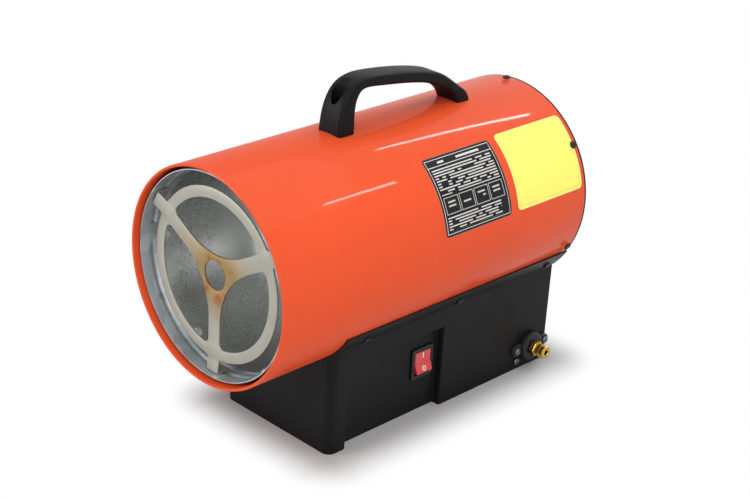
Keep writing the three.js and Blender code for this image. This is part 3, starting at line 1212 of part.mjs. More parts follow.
function gasPipe() {
  const start = VALVE_FACE - GAP;
  const end = INJECTOR_FRONT + INJECTOR_LENGTH - PIPE_SOCKET + GAP;
  const points = [
    spot(0, start, INLET_HEIGHT),
    spot(0, PASSAGE_DEPTH, INLET_HEIGHT),
    spot(0, PASSAGE_DEPTH, AXIS_HEIGHT),
    spot(0, end, AXIS_HEIGHT),
  ];
  return tubeAlong(points, PIPE_BEND, PIPE_RADIUS, 5);
}

function lead(points) {
  return tubeAlong(points, LEAD_BEND, LEAD_RADIUS, 4);
}

// A probe's lead climbs through the passage beside the gas pipe and ends in the probe's socket.
function probeLead(side, from) {
  const angle = side < 0 ? PROBE_ANGLES[0] : PROBE_ANGLES[1];
  const socket = onDrum(PROBE_CIRCLE, angle, PROBE_END - LEAD_SOCKET + GAP).at;
  const aside = side * LEAD_ASIDE;
  return lead([
    ...from,
    spot(aside, PASSAGE_DEPTH, INLET_HEIGHT),
    spot(aside, PASSAGE_DEPTH, socket.z),
    spot(socket.x, PASSAGE_DEPTH - PIPE_BEND - 2 * LEAD_BEND, socket.z),
    socket,
  ]);
}

function motorLead() {
  const firstPole = TERMINAL_DEPTH + TERMINAL.length / TERMINAL.poles;
  return lead([
    spot(TERMINAL_X + TERMINAL.width / 4, firstPole, TERMINAL_CHANNEL),
    spot(MOTOR_LEAD_X, firstPole, TERMINAL_CHANNEL),
    spot(MOTOR_LEAD_X, MOTOR_LEAD_DEPTH, TERMINAL_CHANNEL),
    spot(MOTOR_LEAD_X, MOTOR_LEAD_DEPTH, MOTOR_LEAD_TOP),
  ]);
}

// ---------------------------------------------------------------- assembly
add("outer_casing", casing(), "paintRed");
add("combustion_liner", liner(), "galvanised");
add("outlet_guard", guard(), "stampedSteel");
add("burner_cup", burnerCup(), "spunSteel");
rivets.forEach((rivet, i) => add(`cup_rivet_${i + 1}`, rivetSolid(rivet), "aluminium"));
add("burner_head", burnerHead(), "spunSteel");
add("mixing_tube", mixingTube(), "galvanised");
add("gas_injector", gasInjector(), "brass");
add("burner_bracket", burnerBracket(), "galvanised");
add("ignition_electrode", probe(PROBE_ANGLES[0], ELECTRODE_TIP), "ceramic");
add("thermocouple", probe(PROBE_ANGLES[1], THERMOCOUPLE_TIP), "copper");
add("overheat_thermostat", thermostat(), "aluminium");

add("fan_impeller", fan(), "aluminium");
add("fan_shaft", motorShaft(), "zincScrew");
add("fan_nut", fanNut(), "zincScrew");
add("motor", motor(), "galvanised");
add("rear_grille", rearGrille(), "blackPlastic");
grilleScrews.forEach((screw, i) => add(`grille_screw_${i + 1}`, screwSolid(screw), "blackScrew"));
motorScrews.forEach((screw, i) => add(`motor_screw_${i + 1}`, screwSolid(screw), "zincScrew"));

add("handle", handle(), "blackPlastic");
handleScrews.forEach((screw, i) => add(`handle_screw_${i + 1}`, screwSolid(screw), "zincScrew"));

add("base_housing", baseHousing(), "blackPaint");
add("base_floor", baseFloor(), "blackPaint");
add("base_rear_plate", baseRearPlate(), "blackPaint");
saddleScrews.forEach((screw, i) => add(`saddle_screw_${i + 1}`, screwSolid(screw), "blackScrew"));
floorScrews.forEach((screw, i) => add(`floor_screw_${i + 1}`, screwSolid(screw), "zincScrew"));
add("cable_gland", cableGland(), "blackPlastic");
add("terminal_block", terminalBlock(), "ceramic");

add("switch_bezel", switchBezel(), "blackPlastic");
add("switch_rocker", switchRocker(), "switchRed");
add("inlet_flange", inletFlange(), "blackPlastic");
inletScrews.forEach((screw, i) => add(`inlet_screw_${i + 1}`, screwSolid(screw), "zincScrew"));
add("inlet_nipple", inletNipple(), "brass");
add("gas_valve", gasValve(), "aluminium");
add("valve_button", pushButton(INLET_DEPTH), "switchRed");
add("piezo_igniter", piezoBody(), "blackPlastic");
add("piezo_button", pushButton(PIEZO_DEPTH), "blackPlastic");

add("gas_pipe", gasPipe(), "copper");
add("thermocouple_lead", probeLead(1, [
  spot(LEAD_ASIDE, VALVE_FACE + LEAD_SOCKET - GAP, INLET_HEIGHT),
]), "copper");
add("ignition_lead", probeLead(-1, [
  spot(PIEZO_END - LEAD_SOCKET + GAP, PIEZO_DEPTH, INLET_HEIGHT),
  spot(-LEAD_ASIDE, PIEZO_DEPTH, INLET_HEIGHT),
]), "rubber");
add("motor_lead", motorLead(), "rubber");

export default heater;
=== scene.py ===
import math

import bmesh
import bpy
from mathutils import Matrix, Vector


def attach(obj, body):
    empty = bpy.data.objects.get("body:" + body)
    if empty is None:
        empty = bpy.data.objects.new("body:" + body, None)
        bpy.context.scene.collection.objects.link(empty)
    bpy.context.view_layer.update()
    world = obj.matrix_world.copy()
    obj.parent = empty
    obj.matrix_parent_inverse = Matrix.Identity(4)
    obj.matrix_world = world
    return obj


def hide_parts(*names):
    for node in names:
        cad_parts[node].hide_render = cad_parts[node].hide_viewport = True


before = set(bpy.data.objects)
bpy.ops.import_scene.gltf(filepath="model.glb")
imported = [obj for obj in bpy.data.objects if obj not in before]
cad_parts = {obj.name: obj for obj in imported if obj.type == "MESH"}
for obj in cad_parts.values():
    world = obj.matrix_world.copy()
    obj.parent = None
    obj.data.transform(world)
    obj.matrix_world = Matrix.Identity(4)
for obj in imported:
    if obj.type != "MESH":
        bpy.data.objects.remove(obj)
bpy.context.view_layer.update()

# ------------------------------------------------------------------ drum
# The outer casing is one rolled steel sheet with both ends folded inward into a hem,
# sprayed with a glossy orange-red enamel. The base, handle and rear grille are screwed to it.
AXIS_HEIGHT = 0.168
DRUM_RADIUS = 0.095
DRUM_FRONT = -0.18615
DRUM_REAR = DRUM_FRONT + 0.3696
DRUM_INNER = 0.0938
HEM_INNER = 0.0926
HEM_WIDTH = 0.008
HEM_ROUND = 0.0009


def rgb(red, green, blue):
    """A colour given as it looks on screen, 0 to 255, turned into the linear values a shader takes."""
    shares = [value / 255 for value in (red, green, blue)]
    return [s / 12.92 if s <= 0.04045 else ((s + 0.055) / 1.055) ** 2.4 for s in shares] + [1.0]


def node(tree, kind, inputs=None, **settings):
    """Adds a shader node. An input is given a constant, or the output socket that feeds it."""
    made = tree.nodes.new("ShaderNode" + kind)
    for name, value in settings.items():
        setattr(made, name, value)
    for name, value in (inputs or {}).items():
        if isinstance(value, bpy.types.NodeSocket):
            tree.links.new(value, made.inputs[name])
        else:
            made.inputs[name].default_value = value
    return made


def new_group(name, inputs, outputs):
    """A shader node group with named sockets: number inputs with their defaults, and typed outputs."""
    tree = bpy.data.node_groups.new(name, "ShaderNodeTree")
    for label, default in inputs.items():
        made = tree.interface.new_socket(label, in_out="INPUT", socket_type="NodeSocketFloat")
        made.default_value = default
    for label, kind in outputs.items():
        tree.interface.new_socket(label, in_out="OUTPUT", socket_type=kind)
    return tree, tree.nodes.new("NodeGroupInput").outputs, tree.nodes.new("NodeGroupOutput").inputs


def ramp(tree, value, low, high, to_min=0.0, to_max=1.0):
    """Stretches the part of a value between low and high to the given limits."""
    return node(tree, "MapRange", {
        "Value": value, "From Min": low, "From Max": high, "To Min": to_min, "To Max": to_max,
    }).outputs["Result"]


def maths(tree, operation, first, second=0.0, third=0.0):
    """One step of arithmetic between sockets or numbers."""
    return node(tree, "Math", {0: first, 1: second, 2: third}, operation=operation).outputs[0]


def mixed(tree, factor, first, second):
    """A colour between two others."""
    made = node(tree, "Mix", {"Factor": factor}, data_type="RGBA")
    for name, value in (("A", first), ("B", second)):
        socket = [s for s in made.inputs if s.name == name and s.type == "RGBA"][0]
        if isinstance(value, bpy.types.NodeSocket):
            tree.links.new(value, socket)
        else:
            socket.default_value = value
    return [s for s in made.outputs if s.type == "RGBA"][0]


def times(tree, first, second):
    """A product, or a mask on a mask."""
    return maths(tree, "MULTIPLY", first, second)


def vector_maths(tree, operation, first, second=(0, 0, 0)):
    """One step of arithmetic between vectors; a length or a dot product comes out as a number."""
    made = node(tree, "VectorMath", {0: first, 1: second}, operation=operation)
    return made.outputs["Value" if operation in ("LENGTH", "DOT_PRODUCT") else "Vector"]


def object_place(tree):
    """Where a point lies in the model, in metres."""
    return node(tree, "TexCoord").outputs["Object"]


def noise(tree, scale, detail, roughness=0.5):
    """Cloudy unevenness, 0 to 1."""
    return node(tree, "TexNoise", {
        "Vector": object_place(tree), "Scale": scale, "Detail": detail, "Roughness": roughness,
    }).outputs["Fac"]


def make_edge_wear():
    """Where a surface turns sharply, broken up by noise: rubbed edges."""
    tree, given, out = new_group("edge_wear", {"Width": 0.001, "Scale": 60.0}, {"Mask": "NodeSocketFloat"})
    rounded = node(tree, "Bevel", {"Radius": given["Width"]}, samples=4).outputs["Normal"]
    facing = vector_maths(tree, "DOT_PRODUCT", rounded, node(tree, "NewGeometry").outputs["Normal"])
    turn = ramp(tree, maths(tree, "SUBTRACT", 1.0, facing), 0.02, 0.25)
    patches = ramp(tree, noise(tree, given["Scale"], 6.0), 0.42, 0.62)
    tree.links.new(times(tree, turn, patches), out["Mask"])
    return tree


def make_dust():
    """A thin uneven film on what faces up."""
    tree, given, out = new_group("dust", {"Amount": 0.3, "Scale": 12.0}, {"Mask": "NodeSocketFloat"})
    normal = node(tree, "NewGeometry").outputs["Normal"]
    up = ramp(tree, node(tree, "SeparateXYZ", {0: normal}).outputs["Z"], 0.1, 1.0)
    cover = times(tree, up, ramp(tree, noise(tree, given["Scale"], 8.0, 0.65), 0.35, 0.8))
    tree.links.new(times(tree, cover, given["Amount"]), out["Mask"])
    return tree


def make_grain():
    """Coarse and fine unevenness together: a tone for colours and a height for bumps."""
    outputs = {"Tone": "NodeSocketFloat", "Height": "NodeSocketFloat"}
    tree, given, out = new_group("grain", {"Coarse": 14.0, "Fine": 900.0}, outputs)
    coarse, fine = noise(tree, given["Coarse"], 5.0), noise(tree, given["Fine"], 3.0)
    tree.links.new(maths(tree, "ADD", times(tree, coarse, 0.7), times(tree, fine, 0.3)), out["Tone"])
    tree.links.new(fine, out["Height"])
    return tree


EDGE_WEAR = make_edge_wear()
DUST = make_dust()
GRAIN = make_grain()


def grouped(tree, group, **inputs):
    """Adds one of the shared effects to a material."""
    made = tree.nodes.new("ShaderNodeGroup")
    made.node_tree = group
    for name, value in inputs.items():
        made.inputs[name.capitalize()].default_value = value
    return made.outputs


def finish_material(name, base, worn, dusty, roughness, metallic=0.0, coarse=14.0, fine=900.0,
                    bump=0.05, spread=0.12, wear=0.6, wear_width=0.0008, dust=0.15, coat=0.0,
                    coat_roughness=0.1, specular=0.5):
    """A surface with an uneven tone, rubbed edges, a film of dust, varied roughness and a fine bump."""
    material = bpy.data.materials.new(name)
    material.use_nodes = True
    tree = material.node_tree
    shader = tree.nodes["Principled BSDF"]
    grain = grouped(tree, GRAIN, coarse=coarse, fine=fine)
    dark = [channel * (1 - spread) for channel in base[:3]] + [1.0]
    light = [min(1.0, channel * (1 + spread)) for channel in base[:3]] + [1.0]
    colour = mixed(tree, ramp(tree, grain["Tone"], 0.35, 0.65), dark, light)
    rubbed = grouped(tree, EDGE_WEAR, width=wear_width, scale=70.0)["Mask"]
    colour = mixed(tree, times(tree, rubbed, wear), colour, worn)
    film = grouped(tree, DUST, amount=dust, scale=14.0)["Mask"]
    colour = mixed(tree, film, colour, dusty)
    tree.links.new(colour, shader.inputs["Base Color"])
    rough = ramp(tree, grain["Tone"], 0.3, 0.7, roughness * 0.85, roughness * 1.2)
    tree.links.new(maths(tree, "ADD", rough, times(tree, film, 0.4)), shader.inputs["Roughness"])
    raised = node(tree, "Bump", {"Strength": bump, "Distance": 0.0004, "Height": grain["Height"]})
    tree.links.new(raised.outputs["Normal"], shader.inputs["Normal"])
    shader.inputs["Metallic"].default_value = metallic
    shader.inputs["Specular IOR Level"].default_value = specular
    shader.inputs["Coat Weight"].default_value = coat
    shader.inputs["Coat Roughness"].default_value = coat_roughness
    return material


def parts_of(material):
    """A finish's node tree, its shader, and the colour that feeds it."""
    tree = material.node_tree
    shader = tree.nodes["Principled BSDF"]
    return tree, shader, shader.inputs["Base Color"].links[0].from_socket


def choose(*pieces):
    """Selects these pieces alone, in object mode, with the first one active."""
    if bpy.context.object and bpy.context.object.mode != "OBJECT":
        bpy.ops.object.mode_set(mode="OBJECT")
    bpy.ops.object.select_all(action="DESELECT")
    for piece in pieces:
        piece.select_set(True)
    bpy.context.view_layer.objects.active = pieces[0]


def settle():
    """Keeps the chosen piece's place in its mesh and returns it."""
    bpy.ops.object.transform_apply(location=True, rotation=True, scale=True)
    return bpy.context.object


def edit(piece):
    """Opens one piece in edit mode with all of it chosen."""
    choose(piece)
    bpy.ops.object.mode_set(mode="EDIT")
    bpy.ops.mesh.select_mode(type="VERT")
    bpy.ops.mesh.select_all(action="SELECT")


def leave(piece):
    """Back to object mode, with the piece's place kept in its mesh."""
    choose(piece)
    return settle()


def drawn_out(step):
    """Extrudes what is chosen in the open mesh by a step."""
    bpy.ops.mesh.extrude_region_move(TRANSFORM_OT_translate={"value": step})


def face_outward():
    """Turns all faces of the open mesh outward."""
    bpy.ops.mesh.select_all(action="SELECT")
    bpy.ops.mesh.normals_make_consistent(inside=False)


def pick(kind, test):
    """Chooses, of the open mesh, the parts whose middle and normal pass a test."""
    bpy.ops.mesh.select_mode(type=kind)
    bpy.ops.mesh.select_all(action="DESELECT")
    mesh = bmesh.from_edit_mesh(bpy.context.edit_object.data)
    for part in {"VERT": mesh.verts, "EDGE": mesh.edges, "FACE": mesh.faces}[kind]:
        if kind == "VERT":
            middle, normal = part.co, part.normal
        elif kind == "EDGE":
            middle = (part.verts[0].co + part.verts[1].co) / 2
            normal = (part.verts[1].co - part.verts[0].co).normalized()
        else:
            middle, normal = part.calc_center_median(), part.normal
        if test(middle, normal):
            part.select_set(True)
    mesh.select_flush_mode()
    bmesh.update_edit_mesh(bpy.context.edit_object.data)


def round_edges(size, segments, test):
    """Bevels the edges of the open mesh that pass a test."""
    pick("EDGE", test)
    bpy.ops.mesh.bevel(offset=size, segments=segments, affect="EDGES")


def modify(piece, kind, **settings):
    """Adds a modifier and applies it at once."""
    choose(piece)
    modifier = piece.modifiers.new(kind.lower(), kind)
    for name, value in settings.items():
        setattr(modifier, name, value)
    bpy.ops.object.modifier_apply(modifier=modifier.name)
    return piece


def softened(piece, width, segments=3, angle=50):
    """Rounds every edge that turns by more than an angle."""
    return modify(piece, "BEVEL", width=width, segments=segments, limit_method="ANGLE",
                  angle_limit=math.radians(angle))


def turned(name, axis, middle, profile, segments=64):
    """A body turned about an axis: a first circle drawn out ring by ring to each (radius, place
    along the axis from the middle)."""
    lane = "XYZ".index(axis)
    origin = middle[lane]
    place = list(middle)
    place[lane] += profile[0][1]
    turn = {"X": (0, math.pi / 2, 0), "Y": (math.pi / 2, 0, 0), "Z": (0, 0, 0)}[axis]
    bpy.ops.object.select_all(action="DESELECT")
    bpy.ops.mesh.primitive_circle_add(vertices=segments, radius=profile[0][0], location=place, rotation=turn)
    piece = settle()
    piece.name = name
    edit(piece)
    for (radius, along), (next_radius, next_along) in zip(profile, profile[1:]):
        step = [0, 0, 0]
        step[lane] = next_along - along
        size = [next_radius / radius] * 3
        size[lane] = 1
        place[lane] = origin + next_along
        drawn_out(step)
        bpy.ops.transform.resize(value=size, center_override=place)
    bpy.ops.mesh.select_all(action="SELECT")
    bpy.ops.mesh.remove_doubles(threshold=1e-6)
    bpy.ops.mesh.select_all(action="SELECT")
    bpy.ops.mesh.fill_holes(sides=0)
    face_outward()
    return leave(piece)


def cut_away(piece, cutter):
    """Takes one closed shape out of another and discards the cutter."""
    modify(piece, "BOOLEAN", object=cutter, operation="DIFFERENCE", solver="EXACT")
    bpy.data.objects.remove(cutter)
    return piece


def joined(name, pieces):
    """Several shapes made into one piece."""
    choose(*pieces)
    bpy.ops.object.join()
    pieces[0].name = name
    return pieces[0]


def keep(piece, material, slot, *nodes, body="heater", angle=32):
    """The last steps of every piece: smooth shading, its finish, the body it rides on and the
    nodes that it stands for."""
    choose(piece)
    bpy.ops.object.shade_smooth_by_angle(angle=math.radians(angle))
    piece.data.materials.clear()
    piece.data.materials.append(material)
    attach(piece, body)
    if nodes:
        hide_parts(*nodes)
    return piece


red_enamel = finish_material(
    "red_enamel", rgb(230, 84, 44), rgb(240, 120, 84), rgb(206, 128, 108), 0.42,
    coarse=9.0, fine=320.0, bump=0.03, spread=0.035, wear=0.25, dust=0.02, coat=0.22,
    coat_roughness=0.06, specular=0.03)
drum = turned("drum_casing", "Y", (0, 0, AXIS_HEIGHT), [
    (HEM_INNER, DRUM_FRONT + HEM_WIDTH),
    (HEM_INNER, DRUM_FRONT + HEM_ROUND * 0.6),
    (HEM_INNER + HEM_ROUND * 0.4, DRUM_FRONT + HEM_ROUND * 0.1),
    (DRUM_RADIUS - HEM_ROUND * 0.9, DRUM_FRONT),
    (DRUM_RADIUS - HEM_ROUND * 0.25, DRUM_FRONT + HEM_ROUND * 0.35),
    (DRUM_RADIUS, DRUM_FRONT + HEM_ROUND),
    (DRUM_RADIUS, DRUM_REAR - HEM_ROUND),
    (DRUM_RADIUS - HEM_ROUND * 0.25, DRUM_REAR - HEM_ROUND * 0.35),
    (DRUM_RADIUS - HEM_ROUND * 0.9, DRUM_REAR),
    (HEM_INNER, DRUM_REAR - HEM_ROUND * 0.6),
    (HEM_INNER, DRUM_REAR - HEM_WIDTH),
    (DRUM_INNER, DRUM_REAR - HEM_WIDTH),
    (DRUM_INNER, DRUM_FRONT + HEM_WIDTH),
    (HEM_INNER, DRUM_FRONT + HEM_WIDTH),
], segments=160)
keep(drum, red_enamel, "paint_red", "outer_casing")

# ------------------------------------------------------------------ combustion liner
# A galvanised tube inside the drum: rolled from thin sheet, lapped and riveted along one side,
# with a pressed bead near its mouth.
LINER_RADIUS = 0.0896
LINER_INNER = 0.0888
LINER_FRONT = DRUM_FRONT + 0.005
LINER_REAR = DRUM_FRONT + 0.138
BEAD_PLACE = DRUM_FRONT + 0.018


def galvanised_material(name, base, roughness, scale, streak):
    """Zinc coated sheet: large crystals of different brightness, a fine grain and a dull bloom."""
    material = finish_material(
        name, base, [min(1, c * 1.3) for c in base[:3]] + [1.0],
        [c * 0.8 for c in base[:3]] + [1.0], roughness, metallic=0.6, coarse=25.0, fine=500.0,
        bump=0.04, spread=0.08, wear=0.5, dust=0.15)
    tree, shader, before = parts_of(material)
    crystals = node(tree, "TexVoronoi", {"Vector": object_place(tree), "Scale": scale}).outputs["Color"]
    white_past_painted_shadow = node(tree, "SeparateColor", {0: crystals}).outputs[0]
    tone = ramp(tree, white_past_painted_shadow, 0.0, 1.0, 1 - streak, 1 + streak)
    scaled = node(tree, "VectorMath", {0: before, "Scale": tone}, operation="SCALE").outputs[0]
    tree.links.new(scaled, shader.inputs["Base Color"])
    return material


galvanised = galvanised_material("galvanised_sheet", rgb(184, 192, 196), 0.4, 90.0, 0.16)
bead = [(0, -0.0030), (0.0007, -0.0020), (0.0014, -0.0008), (0.0015, 0), (0.0014, 0.0008),
        (0.0007, 0.0020), (0, 0.0030)]
liner_profile = [(LINER_RADIUS, LINER_FRONT)]
liner_profile += [(LINER_RADIUS + rise, BEAD_PLACE + along) for rise, along in bead]
liner_profile += [(LINER_RADIUS, LINER_REAR), (LINER_INNER, LINER_REAR)]
liner_profile += [(LINER_INNER + rise, BEAD_PLACE + along) for rise, along in reversed(bead)]
liner_profile += [(LINER_INNER, LINER_FRONT), (LINER_RADIUS, LINER_FRONT)]
liner = turned("liner_tube", "Y", (0, 0, AXIS_HEIGHT), liner_profile, segments=128)


def strip(name, radius, start, stop, low, high, steps=16):
    """A narrow sheet wrapped round the drum's axis: one edge along it, spun from one angle to another."""
    bpy.ops.object.select_all(action="DESELECT")
    bpy.ops.mesh.primitive_plane_add(size=1, location=(0, (low + high) / 2, 0))
    piece = bpy.context.object
    piece.scale = (0.01, high - low, 1)
    settle()
    piece.name = name
    edit(piece)
    pick("VERT", lambda at, _: at.x > 0)
    bpy.ops.mesh.delete(type="VERT")
    bpy.ops.mesh.select_all(action="SELECT")
    angle = math.radians(start)
    bpy.ops.transform.translate(value=(
        0.005 + radius * math.cos(angle), 0, AXIS_HEIGHT + radius * math.sin(angle)))
    bpy.ops.mesh.spin(steps=steps, angle=math.radians(stop - start), center=(0, 0, AXIS_HEIGHT),
                      axis=(0, 1, 0))
    bpy.ops.mesh.select_all(action="SELECT")
    bpy.ops.mesh.remove_doubles(threshold=1e-6)
    return leave(piece)


SEAM_LENGTH = 0.03  # as far as it shows in front of the bowl
seam = strip("liner_seam", LINER_INNER - 0.0001, 171, 181, LINER_FRONT, LINER_FRONT + SEAM_LENGTH)
modify(seam, "SOLIDIFY", thickness=0.0005, offset=-1)
edit(seam)
face_outward()
leave(seam)
keep(joined("liner_tube", [liner, seam]), galvanised, "galvanised", "combustion_liner")

# ------------------------------------------------------------------ burner bowl
# A deep drawn steel bowl closes the liner behind the flame. Its straight rim is riveted to the liner
# with six round headed rivets, and its floor carries the burner head and the two probes.
CUP_RADIUS = LINER_INNER - 0.0003
CUP_WALL = 0.0008
CUP_FRONT = DRUM_FRONT + 0.028
CUP_STRAIGHT = DRUM_FRONT + 0.040
CUP_DEPTH = 0.088
CUP_FLOOR_RADIUS = 0.044
SPIGOT_HOLE = 0.0143
inner = [(CUP_RADIUS - CUP_WALL, CUP_FRONT)]
outer = [(CUP_RADIUS, CUP_FRONT)]
for step in range(17):
    turn = math.pi / 2 * step / 16
    radius = CUP_FLOOR_RADIUS + (CUP_RADIUS - CUP_FLOOR_RADIUS) * math.cos(turn)
    along = CUP_STRAIGHT + CUP_DEPTH * math.sin(turn)
    inner.append((radius - CUP_WALL, along))
    outer.append((radius + CUP_WALL * (math.cos(turn) - 1), along + CUP_WALL * math.sin(turn)))
inner.append((SPIGOT_HOLE, CUP_STRAIGHT + CUP_DEPTH))
outer.append((SPIGOT_HOLE, CUP_STRAIGHT + CUP_DEPTH + CUP_WALL))
bowl = turned("burner_bowl", "Y", (0, 0, AXIS_HEIGHT), inner + outer[::-1] + inner[:1], segments=128)
drawn_steel = finish_material(
    "drawn_steel", rgb(194, 196, 194), rgb(222, 222, 218), rgb(170, 162, 148), 0.27,
    metallic=0.85, coarse=7.0, fine=260.0, bump=0.05, spread=0.08, wear=0.4, dust=0.1)
keep(bowl, drawn_steel, "spun_steel", "burner_cup")

bright_rivet = finish_material(
    "bright_rivet", rgb(226, 226, 224), rgb(240, 240, 238), rgb(170, 164, 154), 0.3,
    metallic=0.35, coarse=60.0, fine=1200.0, bump=0.05, dust=0.2)
RIVET_CIRCLE = 0.0877
RIVET_DEPTH = DRUM_FRONT + 0.031
RIVET_COUNT = 6
rivet = turned("cup_rivet", "X", (RIVET_CIRCLE, RIVET_DEPTH, AXIS_HEIGHT), [
    (0.0018, 0.002), (0.0018, -0.0003), (0.0044, -0.0003), (0.0046, -0.0006), (0.0043, -0.0013),
    (0.0036, -0.0020), (0.0026, -0.0025), (0.0016, -0.0027), (0.0013, -0.0026), (0.0012, -0.0010),
], segments=28)


def copy_of(piece, name):
    """A copy with its own mesh, in place of the first."""
    choose(piece)
    bpy.ops.object.duplicate(linked=False)
    made = bpy.context.object
    made.name = name
    return made


def turn_about(piece, degrees, axis, centre):
    """Turns a piece about a line through a point, right-handed round the axis."""
    choose(piece)
    middle = Matrix.Translation(Vector(centre))
    turn = Matrix.Rotation(math.radians(degrees), 4, axis)
    piece.matrix_world = middle @ turn @ middle.inverted() @ piece.matrix_world
    return settle()


rivets = [rivet] + [copy_of(rivet, "cup_rivet") for _ in range(RIVET_COUNT - 1)]
for index, made in enumerate(rivets):
    turn_about(made, -360.0 / RIVET_COUNT * index, "Y", (0, RIVET_DEPTH, AXIS_HEIGHT))
    made.name = f"rivet_{index + 1}"
    keep(made, bright_rivet, "aluminium", f"cup_rivet_{index + 1}")

# ------------------------------------------------------------------ outlet guard
# A stamping of thin zinc plated steel across the mouth: a ring, three spokes that flare into a holed hub,
# and the spokes' ends bent back along the liner. The flame's heat has tinted it straw brown near the hub.
GUARD_FRONT = DRUM_FRONT + 0.011
GUARD_THICKNESS = 0.0015
RING_OUTER = 0.075
RING_INNER = 0.0655
HUB_HOLE = 0.013
SPOKE_HALF = 0.00675
FLARE = 0.066
CORNER = 0.005
SPOKES = (30, 150, 270)


def arc(centre, radius, start, stop, steps):
    """Points along an arc in the guard's plane."""
    angles = [start + (stop - start) * step / steps for step in range(steps + 1)]
    return [(centre[0] + radius * math.cos(a), centre[1] + radius * math.sin(a)) for a in angles]


def beside_spoke(angle, along, aside):
    """A point so far out along a spoke and so far to its side."""
    return (along * math.cos(angle) - aside * math.sin(angle),
            along * math.sin(angle) + aside * math.cos(angle))


def window_outline(start):
    """The outline of the window between a spoke and the next: flare at the hub, round outer corners."""
    following = start + math.radians(120)
    middle = start + math.radians(60)

    reach = math.sqrt((RING_INNER - CORNER) ** 2 - (SPOKE_HALF + CORNER) ** 2)
    first = beside_spoke(start, reach, SPOKE_HALF + CORNER)
    last = beside_spoke(following, reach, -SPOKE_HALF - CORNER)
    lean = math.atan2(SPOKE_HALF + CORNER, reach)
    first_angle, last_angle = start + lean, following - lean
    flare_distance = (SPOKE_HALF + FLARE) / math.sin(math.radians(60))
    centre = (flare_distance * math.cos(middle), flare_distance * math.sin(middle))
    points = arc(first, CORNER, start - math.pi / 2, first_angle, 8)
    points += arc((0, 0), RING_INNER, first_angle, last_angle, 40)[1:]
    points += arc(last, CORNER, last_angle, following + math.pi / 2, 8)[1:]
    points += arc(centre, FLARE, following + math.pi / 2, start + 3 * math.pi / 2, 24)
    return points


def drawn_outline(points, place):
    """Draws a closed line through points by extruding one vertex after another. place turns a
    point of the drawing into a point of the model."""
    bpy.ops.object.select_all(action="DESELECT")
    bpy.ops.mesh.primitive_plane_add(size=0.001, location=(0, 0, 0))
    piece = settle()
    edit(piece)
    bpy.ops.mesh.merge(type="CENTER")
    first = before = Vector(place(*points[0]))
    bpy.ops.transform.translate(value=first)
    for point in points[1:]:
        after = Vector(place(*point))
        drawn_out(after - before)
        before = after
    bpy.ops.mesh.select_all(action="SELECT")
    bpy.ops.mesh.remove_doubles(threshold=1e-6)
    pick("VERT", lambda at, _: (at - first).length < 1e-6 or (at - before).length < 1e-6)
    bpy.ops.mesh.edge_face_add()
    return leave(piece)


def on_guard(across, up):
    """A point of the guard's front face, from its middle."""
    return (across, GUARD_FRONT, AXIS_HEIGHT + up)


ROOT_ROUND = 0.003
root_aside = SPOKE_HALF + ROOT_ROUND
root_along = math.sqrt((RING_OUTER + ROOT_ROUND) ** 2 - root_aside ** 2)
root_turn = math.atan2(root_aside, root_along)
rim = []
for start in map(math.radians, SPOKES):
    following = start + math.radians(120)
    rim += arc(beside_spoke(start, root_along, root_aside), ROOT_ROUND,
               start - math.pi / 2, start + root_turn - math.pi, 5)
    rim += arc((0, 0), RING_OUTER, start + root_turn, following - root_turn, 36)[1:-1]
    rim += arc(beside_spoke(following, root_along, -root_aside), ROOT_ROUND,
               following - root_turn + math.pi, following + math.pi / 2, 5)
hub_hole = arc((0, 0), HUB_HOLE, 0, math.radians(350), 35)
outlines = [drawn_outline(rim, on_guard), drawn_outline(hub_hole, on_guard)]
outlines += [drawn_outline(window_outline(math.radians(angle)), on_guard) for angle in SPOKES]
guard = joined("outlet_guard_plate", outlines)
edit(guard)
bpy.ops.mesh.select_mode(type="EDGE")
bpy.ops.mesh.select_all(action="SELECT")
bpy.ops.mesh.fill(use_beauty=True)
ARM_END = LINER_INNER - 0.0009
ARM_RISE = 0.0018
TAB_LENGTH = 0.0125
for angle in map(math.radians, SPOKES):
    out = Vector((math.cos(angle), 0, math.sin(angle)))
    root = Vector((0, GUARD_FRONT, AXIS_HEIGHT)) + out * root_along
    end = Vector((0, GUARD_FRONT - ARM_RISE, AXIS_HEIGHT)) + out * ARM_END
    pick("EDGE", lambda at, _: (at - root).length < 1e-4)
    drawn_out(end - root)
    drawn_out((0, TAB_LENGTH, 0))
    round_edges(0.0016, 4, lambda at, _: (at - end).length < 1e-4)
    round_edges(0.0012, 2, lambda at, _: (at - root).length < 1e-4)
face_outward()
mesh = bmesh.from_edit_mesh(guard.data)
if sum(face.normal.y * face.calc_area() for face in mesh.faces) > 0:
    bpy.ops.mesh.flip_normals()
leave(guard)
modify(guard, "SOLIDIFY", thickness=GUARD_THICKNESS, offset=-1)
softened(guard, 0.0003, 2)


def tinted_steel(name):
    """Bright plated sheet with straw and brown heat tints that fade from the hub outward."""
    material = finish_material(
        name, rgb(166, 164, 154), rgb(196, 194, 184), rgb(140, 130, 112), 0.42,
        metallic=0.6, coarse=30.0, fine=700.0, bump=0.05, spread=0.06, wear=0.5, dust=0.1)
    tree, shader, before = parts_of(material)
    centred = node(tree, "Mapping", {
        "Vector": object_place(tree), "Location": (0, -GUARD_FRONT, -AXIS_HEIGHT),
    }).outputs["Vector"]
    distance = vector_maths(tree, "LENGTH", centred)
    waver = times(tree, maths(tree, "SUBTRACT", noise(tree, 38.0, 4.0), 0.5), 0.03)
    straw = times(tree, ramp(tree, maths(tree, "ADD", distance, waver), 0.054, 0.020), 0.95)
    gold = mixed(tree, straw, before, rgb(152, 124, 72))
    spots = ramp(tree, noise(tree, 75.0, 2.0), 0.50, 0.62)
    near = times(tree, spots, ramp(tree, distance, 0.032, 0.020))
    brown = mixed(tree, times(tree, near, 0.75), gold, rgb(150, 74, 30))
    tree.links.new(brown, shader.inputs["Base Color"])
    return material


